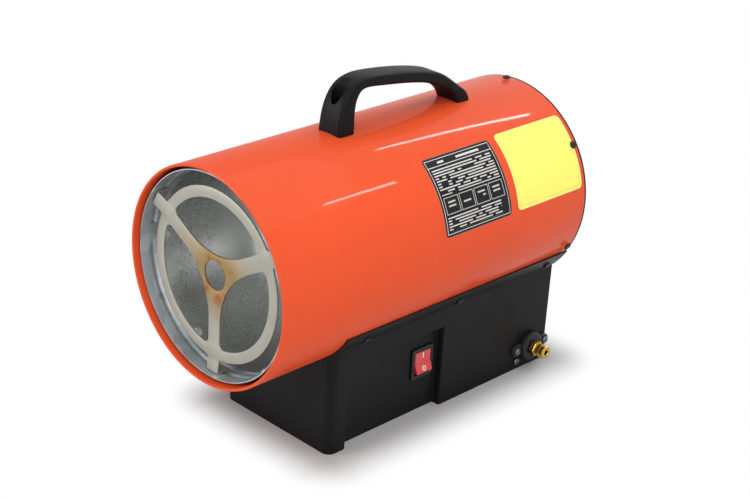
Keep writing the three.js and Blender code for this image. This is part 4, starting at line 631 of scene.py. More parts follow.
keep(guard, tinted_steel("tinted_guard_steel"), "guard_steel", "outlet_guard", angle=28)

# ------------------------------------------------------------------ burner parts
# Inside the bowl and behind it: the cast burner head, its mixing tube, the brass injector, the folded
# bracket, the two probes, the thermostat and the copper pipe. They keep their solids and get their metals.
cast_steel = finish_material(
    "cast_steel", rgb(96, 92, 88), rgb(150, 146, 140), rgb(110, 92, 76), 0.5,
    metallic=0.8, coarse=22.0, fine=420.0, bump=0.25, spread=0.2, dust=0.2)
brass = finish_material(
    "turned_brass", rgb(196, 160, 84), rgb(236, 214, 150), rgb(150, 128, 84), 0.26,
    metallic=1.0, coarse=40.0, fine=900.0, bump=0.04, spread=0.08, wear=0.5, dust=0.08)
copper = finish_material(
    "drawn_copper", rgb(178, 104, 68), rgb(222, 150, 112), rgb(120, 84, 62), 0.34,
    metallic=1.0, coarse=30.0, fine=700.0, bump=0.06, spread=0.14, dust=0.15)
aluminium = finish_material(
    "cast_aluminium", rgb(176, 178, 180), rgb(214, 216, 216), rgb(128, 124, 118), 0.42,
    metallic=0.95, coarse=26.0, fine=500.0, bump=0.12, spread=0.08, dust=0.15)
ceramic = finish_material(
    "glazed_ceramic", rgb(226, 220, 206), rgb(240, 236, 226), rgb(170, 156, 136), 0.3,
    coarse=30.0, fine=600.0, bump=0.05, spread=0.05, dust=0.15)
rubber = finish_material(
    "cable_rubber", rgb(26, 26, 27), rgb(58, 58, 58), rgb(78, 74, 68), 0.7,
    coarse=40.0, fine=800.0, bump=0.15, spread=0.2, dust=0.2)
zinc = finish_material(
    "zinc_plate", rgb(104, 105, 106), rgb(170, 170, 167), rgb(84, 80, 74), 0.4,
    metallic=0.95, coarse=60.0, fine=1200.0, bump=0.06, spread=0.1, dust=0.15)


def finish_node(name, material):
    """Gives a solid that stays as it is a finished material."""
    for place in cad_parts[name].material_slots:
        place.material = material


for name, material in {
    "burner_head": cast_steel, "mixing_tube": galvanised, "gas_injector": brass, "burner_bracket": galvanised,
    "ignition_electrode": ceramic, "thermocouple": copper, "overheat_thermostat": aluminium,
    "gas_pipe": copper, "thermocouple_lead": copper, "ignition_lead": rubber, "motor_lead": rubber,
    "fan_impeller": aluminium, "fan_shaft": zinc, "fan_nut": zinc, "motor": galvanised,
    "terminal_block": ceramic, "gas_valve": aluminium,
}.items():
    finish_node(name, material)

# ------------------------------------------------------------------ rear grille
# A moulded black grille fits inside the drum's rear hem with a lip over its edge. Its rings and ribs keep
# fingers from the fan, and its middle plate carries the motor on three screws.
moulded_black = finish_material(
    "moulded_black", rgb(26, 27, 29), rgb(78, 78, 78), rgb(80, 77, 72), 0.5,
    coarse=40.0, fine=1100.0, bump=0.12, spread=0.15, wear=0.3, dust=0.08, specular=0.3)
GRILLE_LIP = 0.0024
GRILLE_DEPTH = 0.011
RIM_OUTER = HEM_INNER - 0.0003
RIM_INNER = RIM_OUTER - 0.003
PLATE_RADIUS = 0.026
LIP_FRONT = DRUM_REAR + 0.0003
BAR_DEPTH = 0.003
RING_HALF = 0.0011
RING_COUNT = 4
RIB_WIDTH = 0.0034
RIB_COUNT = 6
DRUM_END = (0, DRUM_REAR, AXIS_HEIGHT)
grille_parts = [turned("rear_grille_moulding", "Y", (0, LIP_FRONT, AXIS_HEIGHT), [
    (RIM_INNER, -GRILLE_DEPTH), (RIM_OUTER, -GRILLE_DEPTH), (RIM_OUTER, 0), (DRUM_RADIUS - 0.0001, 0),
    (DRUM_RADIUS - 0.0001, GRILLE_LIP - 0.0012), (DRUM_RADIUS - 0.0012, GRILLE_LIP),
    (RIM_INNER + 0.0006, GRILLE_LIP), (RIM_INNER, GRILLE_LIP - 0.0006), (RIM_INNER, -GRILLE_DEPTH),
], segments=128)]
grille_parts.append(turned("plate", "Y", DRUM_END, [
    (PLATE_RADIUS, -BAR_DEPTH), (PLATE_RADIUS, -0.0008), (PLATE_RADIUS - 0.0008, 0),
], segments=64))
for index in range(RING_COUNT):
    radius = PLATE_RADIUS + (RIM_INNER - PLATE_RADIUS) * (index + 1) / (RING_COUNT + 1)
    grille_parts.append(turned("ring", "Y", DRUM_END, [
        (radius - RING_HALF, -BAR_DEPTH), (radius - RING_HALF, -0.0005), (radius - 0.0006, 0),
        (radius + 0.0006, 0), (radius + RING_HALF, -0.0005), (radius + RING_HALF, -BAR_DEPTH),
        (radius - RING_HALF, -BAR_DEPTH),
    ], segments=96))


def block(name, size, middle, turn=(0, 0, 0)):
    """A box of a given size to be shaped further."""
    bpy.ops.object.select_all(action="DESELECT")
    bpy.ops.mesh.primitive_cube_add(size=1)
    piece = bpy.context.object
    piece.name, piece.scale, piece.location, piece.rotation_euler = name, size, middle, turn
    return settle()


rib = block("rib", (RIB_WIDTH, BAR_DEPTH, RIM_INNER - PLATE_RADIUS + 0.003),
            (0, DRUM_REAR - BAR_DEPTH / 2, AXIS_HEIGHT + (RIM_INNER + PLATE_RADIUS) / 2))
edit(rib)
round_edges(0.0006, 2, lambda at, way: abs(way.z) > 0.9)
leave(rib)
for index in range(RIB_COUNT):
    made = rib if index == RIB_COUNT - 1 else copy_of(rib, "rib")
    grille_parts.append(turn_about(made, 360.0 / RIB_COUNT * index, "Y", (0, 0, AXIS_HEIGHT)))
keep(joined("rear_grille_moulding", grille_parts), moulded_black, "black_plastic", "rear_grille")

# ------------------------------------------------------------------ screws
# Pan head screws with a cross recess: black ones hold the drum in the base and the grille in the drum,
# dull zinc ones hold the base's floor, the motor, the gas flange and the handle.
blackened = finish_material(
    "blackened_screw", rgb(38, 38, 40), rgb(140, 138, 134), rgb(84, 80, 74), 0.36,
    metallic=0.7, coarse=60.0, fine=1200.0, bump=0.06, wear=0.7, dust=0.15)


def screw_head(name, radius, height, reach):
    """A turned pan head and shank standing up from the origin, with a tapered cross pressed into it."""
    made = turned(name, "Z", (0, 0, 0), [
        (radius * 0.5, -reach), (radius * 0.5, 0), (radius * 0.97, 0), (radius, height * 0.2),
        (radius * 0.97, height * 0.5), (radius * 0.82, height * 0.82), (radius * 0.5, height * 0.97),
        (radius * 0.15, height),
    ], segments=28)
    arms = []
    for turn in (0, 90):
        arm = block("arm", (radius * 1.05, radius * 0.22, height * 1.3), (0, 0, height * 0.95))
        edit(arm)
        pick("FACE", lambda at, normal: normal.z < -0.9)
        bpy.ops.transform.resize(value=(0.45, 0.6, 1), center_override=(0, 0, 0))
        leave(arm)
        arms.append(turn_about(arm, turn, "Z", (0, 0, 0)))
    for arm in arms:
        cut_away(made, arm)
    return made


def set_screw(model, name, at, out, twist=0.0):
    """A copy of a screw, set on a point with its head outward."""
    made = copy_of(model, name)
    turn = Vector((0, 0, 1)).rotation_difference(Vector(out)).to_matrix().to_4x4()
    twisted = turn @ Matrix.Rotation(math.radians(twist), 4, "Z")
    made.matrix_world = Matrix.Translation(Vector(at)) @ twisted
    return settle()


def off_axis(radius, degrees, along):
    """A point round the drum's axis, and the direction out from it."""
    angle = math.radians(degrees)
    out = Vector((math.cos(angle), 0, math.sin(angle)))
    return Vector((0, along, AXIS_HEIGHT)) + out * radius, out


small_screw = screw_head("small_screw", 0.0036, 0.002, 0.004)
SCREW_GAP = 0.0003  # under every head
SADDLE_OUTER = 0.0968
SADDLE_ANGLES = (-40, 220)
SADDLE_DEPTHS = (0.115, 0.230, 0.350)
GRILLE_ANGLES = (-27, 35, 93.5, 150, 207)
GRILLE_SCREW_INSET = 0.005
MOTOR_CIRCLE = 0.017
MOTOR_ANGLES = (90, 210, 330)
FLOOR_SCREW = (0.0668, 0.329, 0.008)  # out to the side, behind the drum's front edge, and up
INLET_SCREW = (0.0701, 0.021)  # out to the side, and up
INLET_DEPTHS = (0.325, 0.365)
places = []
for side in SADDLE_ANGLES:
    for depth in SADDLE_DEPTHS:
        at, out = off_axis(SADDLE_OUTER + SCREW_GAP, side, DRUM_FRONT + depth)
        places.append((f"saddle_screw_{len(places) + 1}", at, out, blackened, "screw_black"))
for index, degrees in enumerate(GRILLE_ANGLES):
    at, out = off_axis(DRUM_RADIUS + SCREW_GAP, degrees, DRUM_REAR - GRILLE_SCREW_INSET)
    places.append((f"grille_screw_{index + 1}", at, out, blackened, "screw_black"))
for index, degrees in enumerate(MOTOR_ANGLES):
    at, _ = off_axis(MOTOR_CIRCLE, degrees, DRUM_REAR + SCREW_GAP)
    places.append((f"motor_screw_{index + 1}", at, Vector((0, 1, 0)), zinc, "screw_zinc"))
for index, side in enumerate((1, -1)):
    at = Vector((side * FLOOR_SCREW[0], DRUM_FRONT + FLOOR_SCREW[1], FLOOR_SCREW[2]))
    places.append((f"floor_screw_{index + 1}", at, Vector((side, 0, 0)), zinc, "screw_zinc"))
for index, depth in enumerate(INLET_DEPTHS):
    at = Vector((INLET_SCREW[0], DRUM_FRONT + depth, INLET_SCREW[1]))
    places.append((f"inlet_screw_{index + 1}", at, Vector((1, 0, 0)), zinc, "screw_zinc"))
for index, (label, at, out, material, slot) in enumerate(places):
    made = set_screw(small_screw, "pan_" + label, at, out, twist=37.0 * index)
    keep(made, material, slot, label)
bpy.data.objects.remove(small_screw)
DRUM_TOP = AXIS_HEIGHT + DRUM_RADIUS
HANDLE_START = DRUM_FRONT + 0.131
HANDLE_SCREWS = (0.0105, 0.150)  # behind the handle's front
WELL_FLOOR = 0.008
handle_screw = screw_head("handle_screw", 0.0044, 0.002, 0.008)
for index, along in enumerate(HANDLE_SCREWS):
    at = Vector((0, HANDLE_START + along, DRUM_TOP + WELL_FLOOR + SCREW_GAP))
    made = set_screw(handle_screw, f"pan_handle_screw_{index + 1}", at, Vector((0, 0, 1)), twist=25.0)
    keep(made, zinc, "screw_zinc", f"handle_screw_{index + 1}")
bpy.data.objects.remove(handle_screw)

# ------------------------------------------------------------------ handle
# One moulding of satin black plastic: two legs bedded on the drum and a grip that slopes back from a
# high front shoulder. A screw stands in a round well in each leg, and a shallow oval dish marks the shoulder.
FOOT_WIDTH = 0.028
GRIP_WIDTH = 0.023
HANDLE_OVER = [  # millimetres behind the front leg's face and above the drum
    (0, -15), (0.4, 0), (1.6, 14), (4.2, 24.5), (8.2, 32.6), (13.8, 39), (21.5, 43), (30, 44.8),
    (40, 45), (57, 43.6), (78, 41), (99, 37.4), (119, 32.5), (131, 27), (142, 19.4), (151, 13),
    (158, 7.7), (163, -2), (165, -15),
]
HANDLE_UNDER = [
    (149, -15), (147, -4), (141.5, 6), (135.5, 11.8), (128, 16), (118, 20.8), (107, 25), (94, 28),
    (81, 30.2), (67, 32.2), (54, 33.8), (43, 35.2), (34, 35.8), (28, 34.8), (24, 31.5), (21.2, 26),
    (19.6, 18), (19, 2), (19, -15),
]


def smooth_run(points, steps):
    """A rounder line through given points: each stretch bends towards its neighbours."""
    run = []
    for index in range(len(points) - 1):
        before = Vector(points[max(index - 1, 0)])
        start, end = Vector(points[index]), Vector(points[index + 1])
        after = Vector(points[min(index + 2, len(points) - 1)])
        for step in range(steps):
            t = step / steps
            run.append(tuple(0.5 * (
                2 * start + (end - before) * t
                + (2 * before - 5 * start + 4 * end - after) * t ** 2
                + (3 * start - before - 3 * end + after) * t ** 3)))
    return run + [tuple(points[-1])]


def on_handle(along, rise):
    """A point of the side view, on the handle's left face, which leans in from the feet to the grip."""
    lean = (rise - HANDLE_UNDER[0][1]) / (HANDLE_OVER[8][1] - HANDLE_UNDER[0][1])
    half = (FOOT_WIDTH + (GRIP_WIDTH - FOOT_WIDTH) * lean) / 2
    return (-half, HANDLE_START + along / 1000, DRUM_TOP + rise / 1000)


handle = drawn_outline(smooth_run(HANDLE_OVER, 2)[:-1] + smooth_run(HANDLE_UNDER, 2), on_handle)
handle.name = "carry_handle"
edit(handle)
bpy.ops.mesh.edge_face_add()
drawn_out((FOOT_WIDTH, 0, 0))
bpy.ops.transform.resize(value=(0, 1, 1), center_override=(0, 0, 0))
bpy.ops.mesh.delete(type="ONLY_FACE")
face_outward()
leave(handle)
modify(handle, "MIRROR", use_axis=(True, False, False), use_clip=True, merge_threshold=1e-5)
edit(handle)
face_outward()
leave(handle)
softened(handle, 0.0030, 4, angle=60)


def bedded(piece, radius, vertices):
    """Cuts away what would lie within a radius round the drum's axis."""
    bpy.ops.mesh.primitive_cylinder_add(vertices=vertices, radius=radius, depth=0.42,
                                        location=(0, 0, AXIS_HEIGHT), rotation=(math.pi / 2, 0, 0))
    return cut_away(piece, settle())


bedded(handle, DRUM_RADIUS + 0.0003, 160)
for along in HANDLE_SCREWS:
    well = turned("well", "Z", (0, HANDLE_START + along, DRUM_TOP), [
        (0.0063, WELL_FLOOR), (0.0063, 0.030), (0.0075, 0.06),
    ], segments=48)
    cut_away(handle, well)
bpy.ops.object.select_all(action="DESELECT")
bpy.ops.mesh.primitive_uv_sphere_add(segments=40, ring_count=20, radius=1)
dish = bpy.context.object
dish.scale = (0.0066, 0.0105, 0.0030)  # half its width, length and depth
dish.location = (0, HANDLE_START + 0.0165, DRUM_TOP + 0.0420)
dish.rotation_euler = (math.radians(38), 0, 0)  # as the shoulder slopes
settle()
cut_away(handle, dish)
edit(handle)
bpy.ops.mesh.remove_doubles(threshold=2e-5)
face_outward()
leave(handle)
satin_plastic = finish_material(
    "satin_plastic", rgb(12, 12, 13), rgb(56, 56, 58), rgb(44, 42, 40), 0.46,
    coarse=24.0, fine=1400.0, bump=0.10, spread=0.1, wear=0.3, dust=0.02, specular=0.12)
keep(handle, satin_plastic, "black_plastic", "handle", angle=40)

# ------------------------------------------------------------------ base
# A folded sheet steel box in satin black enamel: walls with rounded front corners, a recess pressed into the
# right side for the switch, and narrow saddle flanges that follow the drum and take its screws.
BASE_HALF = 0.0665
BASE_FRONT = DRUM_FRONT + 0.084
BASE_REAR = DRUM_FRONT + 0.369
BASE_CORNER = 0.008
WALL_TOP = 0.1205
SHEET = 0.0015
SADDLE_RADIUS = 0.0953
RECESS_FRONT = DRUM_FRONT + 0.104
RECESS_REAR = DRUM_FRONT + 0.222
RECESS_TOP = 0.080
RECESS_DEPTH = 0.008
RECESS_SLOPE = 0.006  # how far the ledge above the panel falls inward
base = block("base_housing_shell", (2 * BASE_HALF, BASE_REAR - BASE_FRONT, WALL_TOP),
             (0, (BASE_REAR + BASE_FRONT) / 2, WALL_TOP / 2))
edit(base)
pick("FACE", lambda at, normal: abs(normal.z) > 0.9 or normal.y > 0.9)
bpy.ops.mesh.delete(type="FACE")
round_edges(BASE_CORNER, 8, lambda at, way: abs(way.z) > 0.9 and at.y < BASE_FRONT + 1e-4)
for corner, facing in (
        ((0, RECESS_FRONT, 0), (0, 1, 0)), ((0, RECESS_REAR, 0), (0, 1, 0)),
        ((0, 0, RECESS_TOP), (0, 0, 1))):
    pick("FACE", lambda at, normal: normal.x > 0.99)
    bpy.ops.mesh.bisect(plane_co=corner, plane_no=facing)
pick("FACE", lambda at, normal: normal.x > 0.99 and RECESS_FRONT < at.y < RECESS_REAR
     and at.z < RECESS_TOP)
drawn_out((-RECESS_DEPTH, 0, 0))
pick("FACE", lambda at, normal: abs(normal.z) > 0.9 and at.z < 1e-4)
bpy.ops.mesh.delete(type="FACE")
pick("VERT", lambda at, _: abs(at.x - BASE_HALF + RECESS_DEPTH) < 1e-5 and at.z > RECESS_TOP - 1e-4)
bpy.ops.transform.translate(value=(0, 0, -RECESS_SLOPE))
face_outward()
round_edges(0.0012, 3, lambda at, _: BASE_HALF - RECESS_DEPTH - 1e-5 < at.x < BASE_HALF + 1e-5
            and RECESS_FRONT - 1e-5 < at.y < RECESS_REAR + 1e-5 and 0.001 < at.z < RECESS_TOP + 1e-5)
leave(base)
modify(base, "SOLIDIFY", thickness=SHEET, offset=-1)
bedded(base, SADDLE_RADIUS, 200)


def faced_from_axis(piece):
    """Turns an open strip's faces away from the drum's axis."""
    edit(piece)
    face_outward()
    mesh = bmesh.from_edit_mesh(piece.data)
    mesh.faces.ensure_lookup_table()
    middle = mesh.faces[0].calc_center_median()
    if mesh.faces[0].normal.dot(middle - Vector((0, middle.y, AXIS_HEIGHT))) < 0:
        bpy.ops.mesh.flip_normals()
    return leave(piece)


flanges = []
for start, stop in ((-31.5, -46.6), (-133.4, -148.5)):
    flange = faced_from_axis(
        strip("saddle_flange", SADDLE_RADIUS, start, stop, BASE_FRONT + 0.0005, BASE_REAR, steps=10))
    modify(flange, "SOLIDIFY", thickness=SHEET, offset=1)
    flanges.append(softened(flange, 0.0005, 2))
base = joined("base_housing_shell", [base] + flanges)
black_enamel = finish_material(
    "black_enamel", rgb(17, 16, 16), rgb(84, 81, 79), rgb(60, 56, 53), 0.46,
    coarse=12.0, fine=700.0, bump=0.10, spread=0.1, wear=0.4, wear_width=0.0006, dust=0.04,
    specular=0.12)
keep(base, black_enamel, "black_paint", "base_housing", angle=30)
for name in ("base_floor", "base_rear_plate"):
    finish_node(name, black_enamel)

# ------------------------------------------------------------------ cable gland
# A moulded black nylon gland in the rear plate, where a mains cord would enter. Its spigot goes through
# a hole in the plate, and a hexagon and a domed cap stand behind it round the bore.
GLAND = (-0.034, DRUM_FRONT + 0.3597, 0.047)
GLAND_BORE = 0.0040
GLAND_SPIGOT = 0.012
gland_nut = turned("gland_nut", "Y", GLAND, [
    (GLAND_BORE, 0), (0.0104, 0), (0.0110, 0.0006), (0.0110, 0.0044), (0.0104, 0.005),
    (GLAND_BORE, 0.005), (GLAND_BORE, 0),
], segments=6)
gland_cap = turned("gland_cap", "Y", GLAND, [
    (GLAND_BORE, -GLAND_SPIGOT), (0.0079, -GLAND_SPIGOT), (0.0079, 0), (0.0072, 0.0052),
    (0.0070, 0.0070), (0.0060, 0.0080), (0.0044, 0.0080), (GLAND_BORE, 0.0074),
    (GLAND_BORE, -GLAND_SPIGOT),
], segments=40)
gland = joined("cable_gland_body", [gland_nut, gland_cap])
keep(gland, moulded_black, "black_plastic", "cable_gland")

# ------------------------------------------------------------------ rocker switch
# A snap-in power switch on the recessed panel: a moulded black bezel and body, and a clear red rocker on
# two pins, with an "I" on its upper half and an "O" on its lower one. Its upper half is pressed in.
PANEL_X = BASE_HALF - RECESS_DEPTH + 0.0003
SWITCH_Y = DRUM_FRONT + 0.203
SWITCH_Z = 0.048
BEZEL = (0.002, 0.027, 0.030)
SWITCH_BODY = (0.0236, 0.024, 0.026)
WELL_DEPTH = 0.013
bezel = block("switch_frame", BEZEL, (PANEL_X + BEZEL[0] / 2, SWITCH_Y, SWITCH_Z))
edit(bezel)
round_edges(0.0024, 5, lambda at, way: abs(way.x) > 0.9)
pick("FACE", lambda at, normal: normal.x > 0.9)
bpy.ops.mesh.inset(thickness=0.0009)
leave(bezel)
cut_away(bezel, block("well", (0.03, 0.0202, 0.0232), (PANEL_X, SWITCH_Y, SWITCH_Z)))
softened(bezel, 0.0006)
switch_body = block("switch_body", SWITCH_BODY, (PANEL_X - 0.0122, SWITCH_Y, SWITCH_Z))
edit(switch_body)
pick("FACE", lambda at, normal: normal.x > 0.9)
bpy.ops.mesh.inset(thickness=0.0015)
drawn_out((-WELL_DEPTH, 0, 0))
leave(switch_body)
switch_frame = joined("switch_frame", [bezel, switch_body])
keep(switch_frame, moulded_black, "black_plastic", "switch_bezel", angle=40)

PIVOT = (0.055, SWITCH_Y, SWITCH_Z)
ROCKER_FACE = 0.0608
ROCKER_THICKNESS = 0.0078
ROCKER_HALF_Y = 0.00965
ROCKER_HALF_Z = 0.01005
ROCKER_RISE = 0.0019  # of the two ends over the middle
ROCKER_TIP = 10.0  # degrees, the upper half in
PIN_HALF = 0.0108
PIN_RADIUS = 0.0015
MARK_HEIGHT = 0.0062  # of each mark from the middle
MARK_LEAN = 9.5  # degrees, as the face that carries it
rocker = block("switch_rocker_lens", (ROCKER_THICKNESS, 2 * ROCKER_HALF_Y, 2 * ROCKER_HALF_Z),
               (ROCKER_FACE - ROCKER_THICKNESS / 2, SWITCH_Y, SWITCH_Z))
edit(rocker)
bpy.ops.mesh.bisect(plane_co=PIVOT, plane_no=(0, 0, 1))
pick("VERT", lambda at, _: at.x > ROCKER_FACE - 1e-4 and abs(at.z - SWITCH_Z) > 0.005)
bpy.ops.transform.translate(value=(ROCKER_RISE, 0, 0))
pick("VERT", lambda at, _: at.x < ROCKER_FACE - 0.005 and abs(at.z - SWITCH_Z) > 0.005)
bpy.ops.transform.resize(value=(1, 1, 0.8), center_override=PIVOT)
pick("FACE", lambda at, normal: normal.x > 0.9)
bpy.ops.mesh.inset(thickness=0.0022)
bpy.ops.transform.translate(value=(-0.0004, 0, 0))
leave(rocker)
softened(rocker, 0.0006, angle=25)
pin = turned("pin", "Y", PIVOT, [
    (0.0004, -PIN_HALF), (PIN_RADIUS, -PIN_HALF), (PIN_RADIUS, PIN_HALF), (0.0004, PIN_HALF),
], segments=24)
rocker = joined("switch_rocker_lens", [rocker, pin])
bar = block("mark_on", (0.0006, 0.0011, 0.0052),
            (ROCKER_FACE + 0.0010, SWITCH_Y, SWITCH_Z + MARK_HEIGHT), (0, math.radians(MARK_LEAN), 0))
softened(bar, 0.0002, 2, angle=30)
ring_place = (ROCKER_FACE + 0.0010, SWITCH_Y, SWITCH_Z - MARK_HEIGHT)
ring = turned("mark_off", "X", ring_place, [
    (0.0014, -0.0003), (0.0014, 0.0003), (0.0023, 0.0003), (0.0023, -0.0003), (0.0014, -0.0003),
], segments=40)
turn_about(ring, -MARK_LEAN, "Y", ring_place)
white_print = finish_material(
    "white_print", rgb(236, 232, 226), rgb(210, 180, 170), rgb(190, 184, 176), 0.5,
    coarse=60.0, fine=1200.0, bump=0.05, spread=0.04, dust=0.05)


def clear_red():
    """Tinted translucent plastic: deep red in the mass, paler where it is thin, with a glossy skin."""
    material = finish_material(
        "clear_red_plastic", rgb(206, 34, 26), rgb(238, 96, 74), rgb(190, 110, 96), 0.16,
        coarse=50.0, fine=900.0, bump=0.03, spread=0.1, wear=0.5, wear_width=0.0006, dust=0.05,
        coat=0.4)
    shader = material.node_tree.nodes["Principled BSDF"]
    shader.inputs["Subsurface Weight"].default_value = 0.35
    shader.inputs["Subsurface Radius"].default_value = (0.004, 0.0008, 0.0005)
    shader.inputs["Subsurface Scale"].default_value = 0.6
    return material


for piece in (rocker, bar, ring):
    turn_about(piece, -ROCKER_TIP, "Y", PIVOT)
keep(rocker, clear_red(), "switch_red", "switch_rocker", body="rocker", angle=40)
keep(bar, white_print, "switch_red", body="rocker")
keep(ring, white_print, "switch_red", body="rocker")

# ------------------------------------------------------------------ gas inlet
# A moulded black flange with two screwed ears on the right side wall, and a turned brass nipple for the hose:
# a hexagon, a plain spigot, a groove and an end ring.
INLET_Y = DRUM_FRONT + 0.345
INLET_Z = 0.021
WALL_X = BASE_HALF + 0.0003
FLANGE_BORE = 0.0052
flange_boss = turned("inlet_flange_moulding", "X", (WALL_X, INLET_Y, INLET_Z), [
    (FLANGE_BORE, 0), (0.0136, 0), (0.0140, 0.0006), (0.0140, 0.0046), (0.0134, 0.0056),
    (0.0124, 0.0060), (0.0092, 0.0060), (0.0088, 0.0054), (0.0056, 0.0054), (FLANGE_BORE, 0.0050),
    (FLANGE_BORE, 0),
], segments=64)
ears = block("ears", (0.003, 0.051, 0.011), (WALL_X + 0.0015, INLET_Y, INLET_Z))
edit(ears)
round_edges(0.0054, 8, lambda at, way: abs(way.x) > 0.9)
pick("FACE", lambda at, normal: normal.x > 0.9)
bpy.ops.mesh.bevel(offset=0.0005, segments=2, affect="EDGES")
leave(ears)
bore = turned("bore", "X", (WALL_X, INLET_Y, INLET_Z), [(FLANGE_BORE, -0.01), (FLANGE_BORE, 0.01)],
              segments=32)
cut_away(ears, bore)
inlet_flange = joined("inlet_flange_moulding", [flange_boss, ears])
keep(inlet_flange, moulded_black, "black_plastic", "inlet_flange", angle=35)

SEAT = (BASE_HALF + 0.0066, INLET_Y, INLET_Z)
HEX_LENGTH = 0.0055
NIPPLE_BORE = 0.0025
NIPPLE_STEM = 0.0053
NIPPLE_RIDGE = 0.0063
STEM_START = 0.0485 - SEAT[0]
nipple = turned("inlet_nipple_turning", "X", SEAT, [
    (NIPPLE_BORE, STEM_START), (0.0050, STEM_START), (0.0050, HEX_LENGTH), (NIPPLE_STEM, HEX_LENGTH),
    (NIPPLE_STEM, 0.0073), (0.0058, 0.0077), (NIPPLE_RIDGE, 0.0081), (NIPPLE_RIDGE, 0.0103),
    (NIPPLE_STEM, 0.0109), (NIPPLE_STEM, 0.0116), (NIPPLE_RIDGE, 0.0121), (NIPPLE_RIDGE, 0.0151),
    (0.0060, 0.0157), (0.0055, 0.016), (0.0030, 0.016), (0.0026, 0.0156), (NIPPLE_BORE, STEM_START),
], segments=56)
hexagon = turned("hexagon", "X", SEAT, [
    (0.0049, 0), (0.0070, 0), (0.0076, 0.0005), (0.0076, HEX_LENGTH - 0.0005), (0.0070, HEX_LENGTH),
    (0.0049, HEX_LENGTH), (0.0049, 0),
], segments=6)
keep(joined("inlet_nipple_turning", [nipple, hexagon]), brass, "brass", "inlet_nipple")

# ------------------------------------------------------------------ push buttons
# Two push buttons on the left side, each a turned cap with a dished end. The red one slides in the gas
# valve's sleeve, and the black one in the moulded collar of the spark igniter.
BUTTON_PITCH = 0.040
collar = turned("igniter_collar", "X", (0, INLET_Y - BUTTON_PITCH, INLET_Z), [
    (0.0067, -0.0655), (0.0067, -0.0684), (0.0070, -0.0688), (0.0104, -0.0688), (0.0110, -0.0682),
    (0.0110, -0.0668), (0.0089, -0.0668), (0.0089, -0.0290), (0.0024, -0.0290), (0.0024, -0.0500),
    (0.0067, -0.0500), (0.0067, -0.0655),
], segments=48)
keep(collar, moulded_black, "black_plastic", "piezo_igniter")
button = turned("valve_button_cap", "X", (0, INLET_Y, INLET_Z), [
    (0.0002, -0.0743), (0.0020, -0.0744), (0.0040, -0.0748), (0.0052, -0.0752), (0.0057, -0.0755),
    (0.0062, -0.0752), (0.0065, -0.0747), (0.0065, -0.0561), (0.0057, -0.0553), (0.0002, -0.0553),
], segments=48)
second = copy_of(button, "igniter_button_cap")
edit(second)
bpy.ops.transform.translate(value=(0, -BUTTON_PITCH, 0))
leave(second)
red_cap = finish_material(
    "red_cap", rgb(196, 40, 30), rgb(226, 110, 90), rgb(170, 120, 108), 0.35,
    coarse=40.0, fine=1000.0, bump=0.08, spread=0.08, dust=0.1)
keep(button, red_cap, "switch_red", "valve_button", body="valve_push")
keep(second, moulded_black, "black_plastic", "piezo_button", body="piezo_push")

# ------------------------------------------------------------------ labels
# Two vinyl stickers on the drum's right side, with rounded corners and a pale edge: a black one
# printed with plain bars, rules and boxes only, and behind it a yellow one with a thin frame.
BAR_LOW, BAR_HIGH = 0.28, 0.72  # the inked part of a row
GAP_SHARE = 0.22  # of the places along a row that stay bare
CUT_EDGE = 0.0004
WORD_SHARE = 1.7  # a word's length to its row's pitch


def inside(tree, value, low, high):
    """1 where a value lies between two limits."""
    return times(tree, maths(tree, "GREATER_THAN", value, low), maths(tree, "LESS_THAN", value, high))


def printed_group():
    """Bars like lines of print: rows across, broken along, each row with its own length."""
    given = {"Along": 0.0, "Across": 0.0, "Row": 0.0025, "Word": 0.004, "Seed": 0.0}
    tree, given, out = new_group("printed_rows", given, {"Mask": "NodeSocketFloat"})
    row = maths(tree, "DIVIDE", given["Across"], given["Row"])
    index = maths(tree, "FLOOR", row)
    within = maths(tree, "FRACT", row)
    word = maths(tree, "FLOOR", maths(tree, "DIVIDE", given["Along"], given["Word"]))
    where = node(tree, "CombineXYZ", {0: word, 1: index, 2: given["Seed"]}).outputs[0]
    gap = node(tree, "TexWhiteNoise", {"Vector": where}, noise_dimensions="3D").outputs["Value"]
    inked = inside(tree, within, BAR_LOW, BAR_HIGH)
    tree.links.new(times(tree, inked, maths(tree, "GREATER_THAN", gap, GAP_SHARE)), out["Mask"])
    return tree


PRINTED = printed_group()


def label_material(name, ground, ink, edge, bounds, panels):
    """A printed sticker. bounds is (front, rear, bottom, top): places along the drum and lengths round it.
    Each panel is (colour, front, rear, bottom, top, row pitch or 0 for a solid one)."""
    material = finish_material(
        name, ground, ink, rgb(160, 150, 140), 0.3, coarse=20.0, fine=500.0, bump=0.02, spread=0.03,
        wear=0.0, dust=0.02, coat=0.1, specular=0.15)
    tree, shader, colour = parts_of(material)
    place = node(tree, "SeparateXYZ", {0: object_place(tree)}).outputs
    turn = maths(tree, "ARCTAN2", maths(tree, "SUBTRACT", place["Z"], AXIS_HEIGHT), place["X"])
    around, along = times(tree, turn, DRUM_RADIUS), place["Y"]
    front, rear, bottom, top = bounds
    for tint, left, right, low, high, pitch in panels:
        mask = times(tree, inside(tree, along, left, right), inside(tree, around, low, high))
        if pitch:
            rows = tree.nodes.new("ShaderNodeGroup")
            rows.node_tree = PRINTED
            tree.links.new(maths(tree, "SUBTRACT", along, left), rows.inputs["Along"])
            tree.links.new(maths(tree, "SUBTRACT", high, around), rows.inputs["Across"])
            rows.inputs["Row"].default_value = pitch
            rows.inputs["Word"].default_value = pitch * WORD_SHARE
            rows.inputs["Seed"].default_value = left * 100 + low * 30
            mask = times(tree, mask, rows.outputs["Mask"])
        colour = mixed(tree, mask, colour, tint)
    middle = times(tree, inside(tree, along, front + CUT_EDGE, rear - CUT_EDGE),
                   inside(tree, around, bottom + CUT_EDGE, top - CUT_EDGE))
    colour = mixed(tree, middle, edge, colour)
    tree.links.new(colour, shader.inputs["Base Color"])
    return material


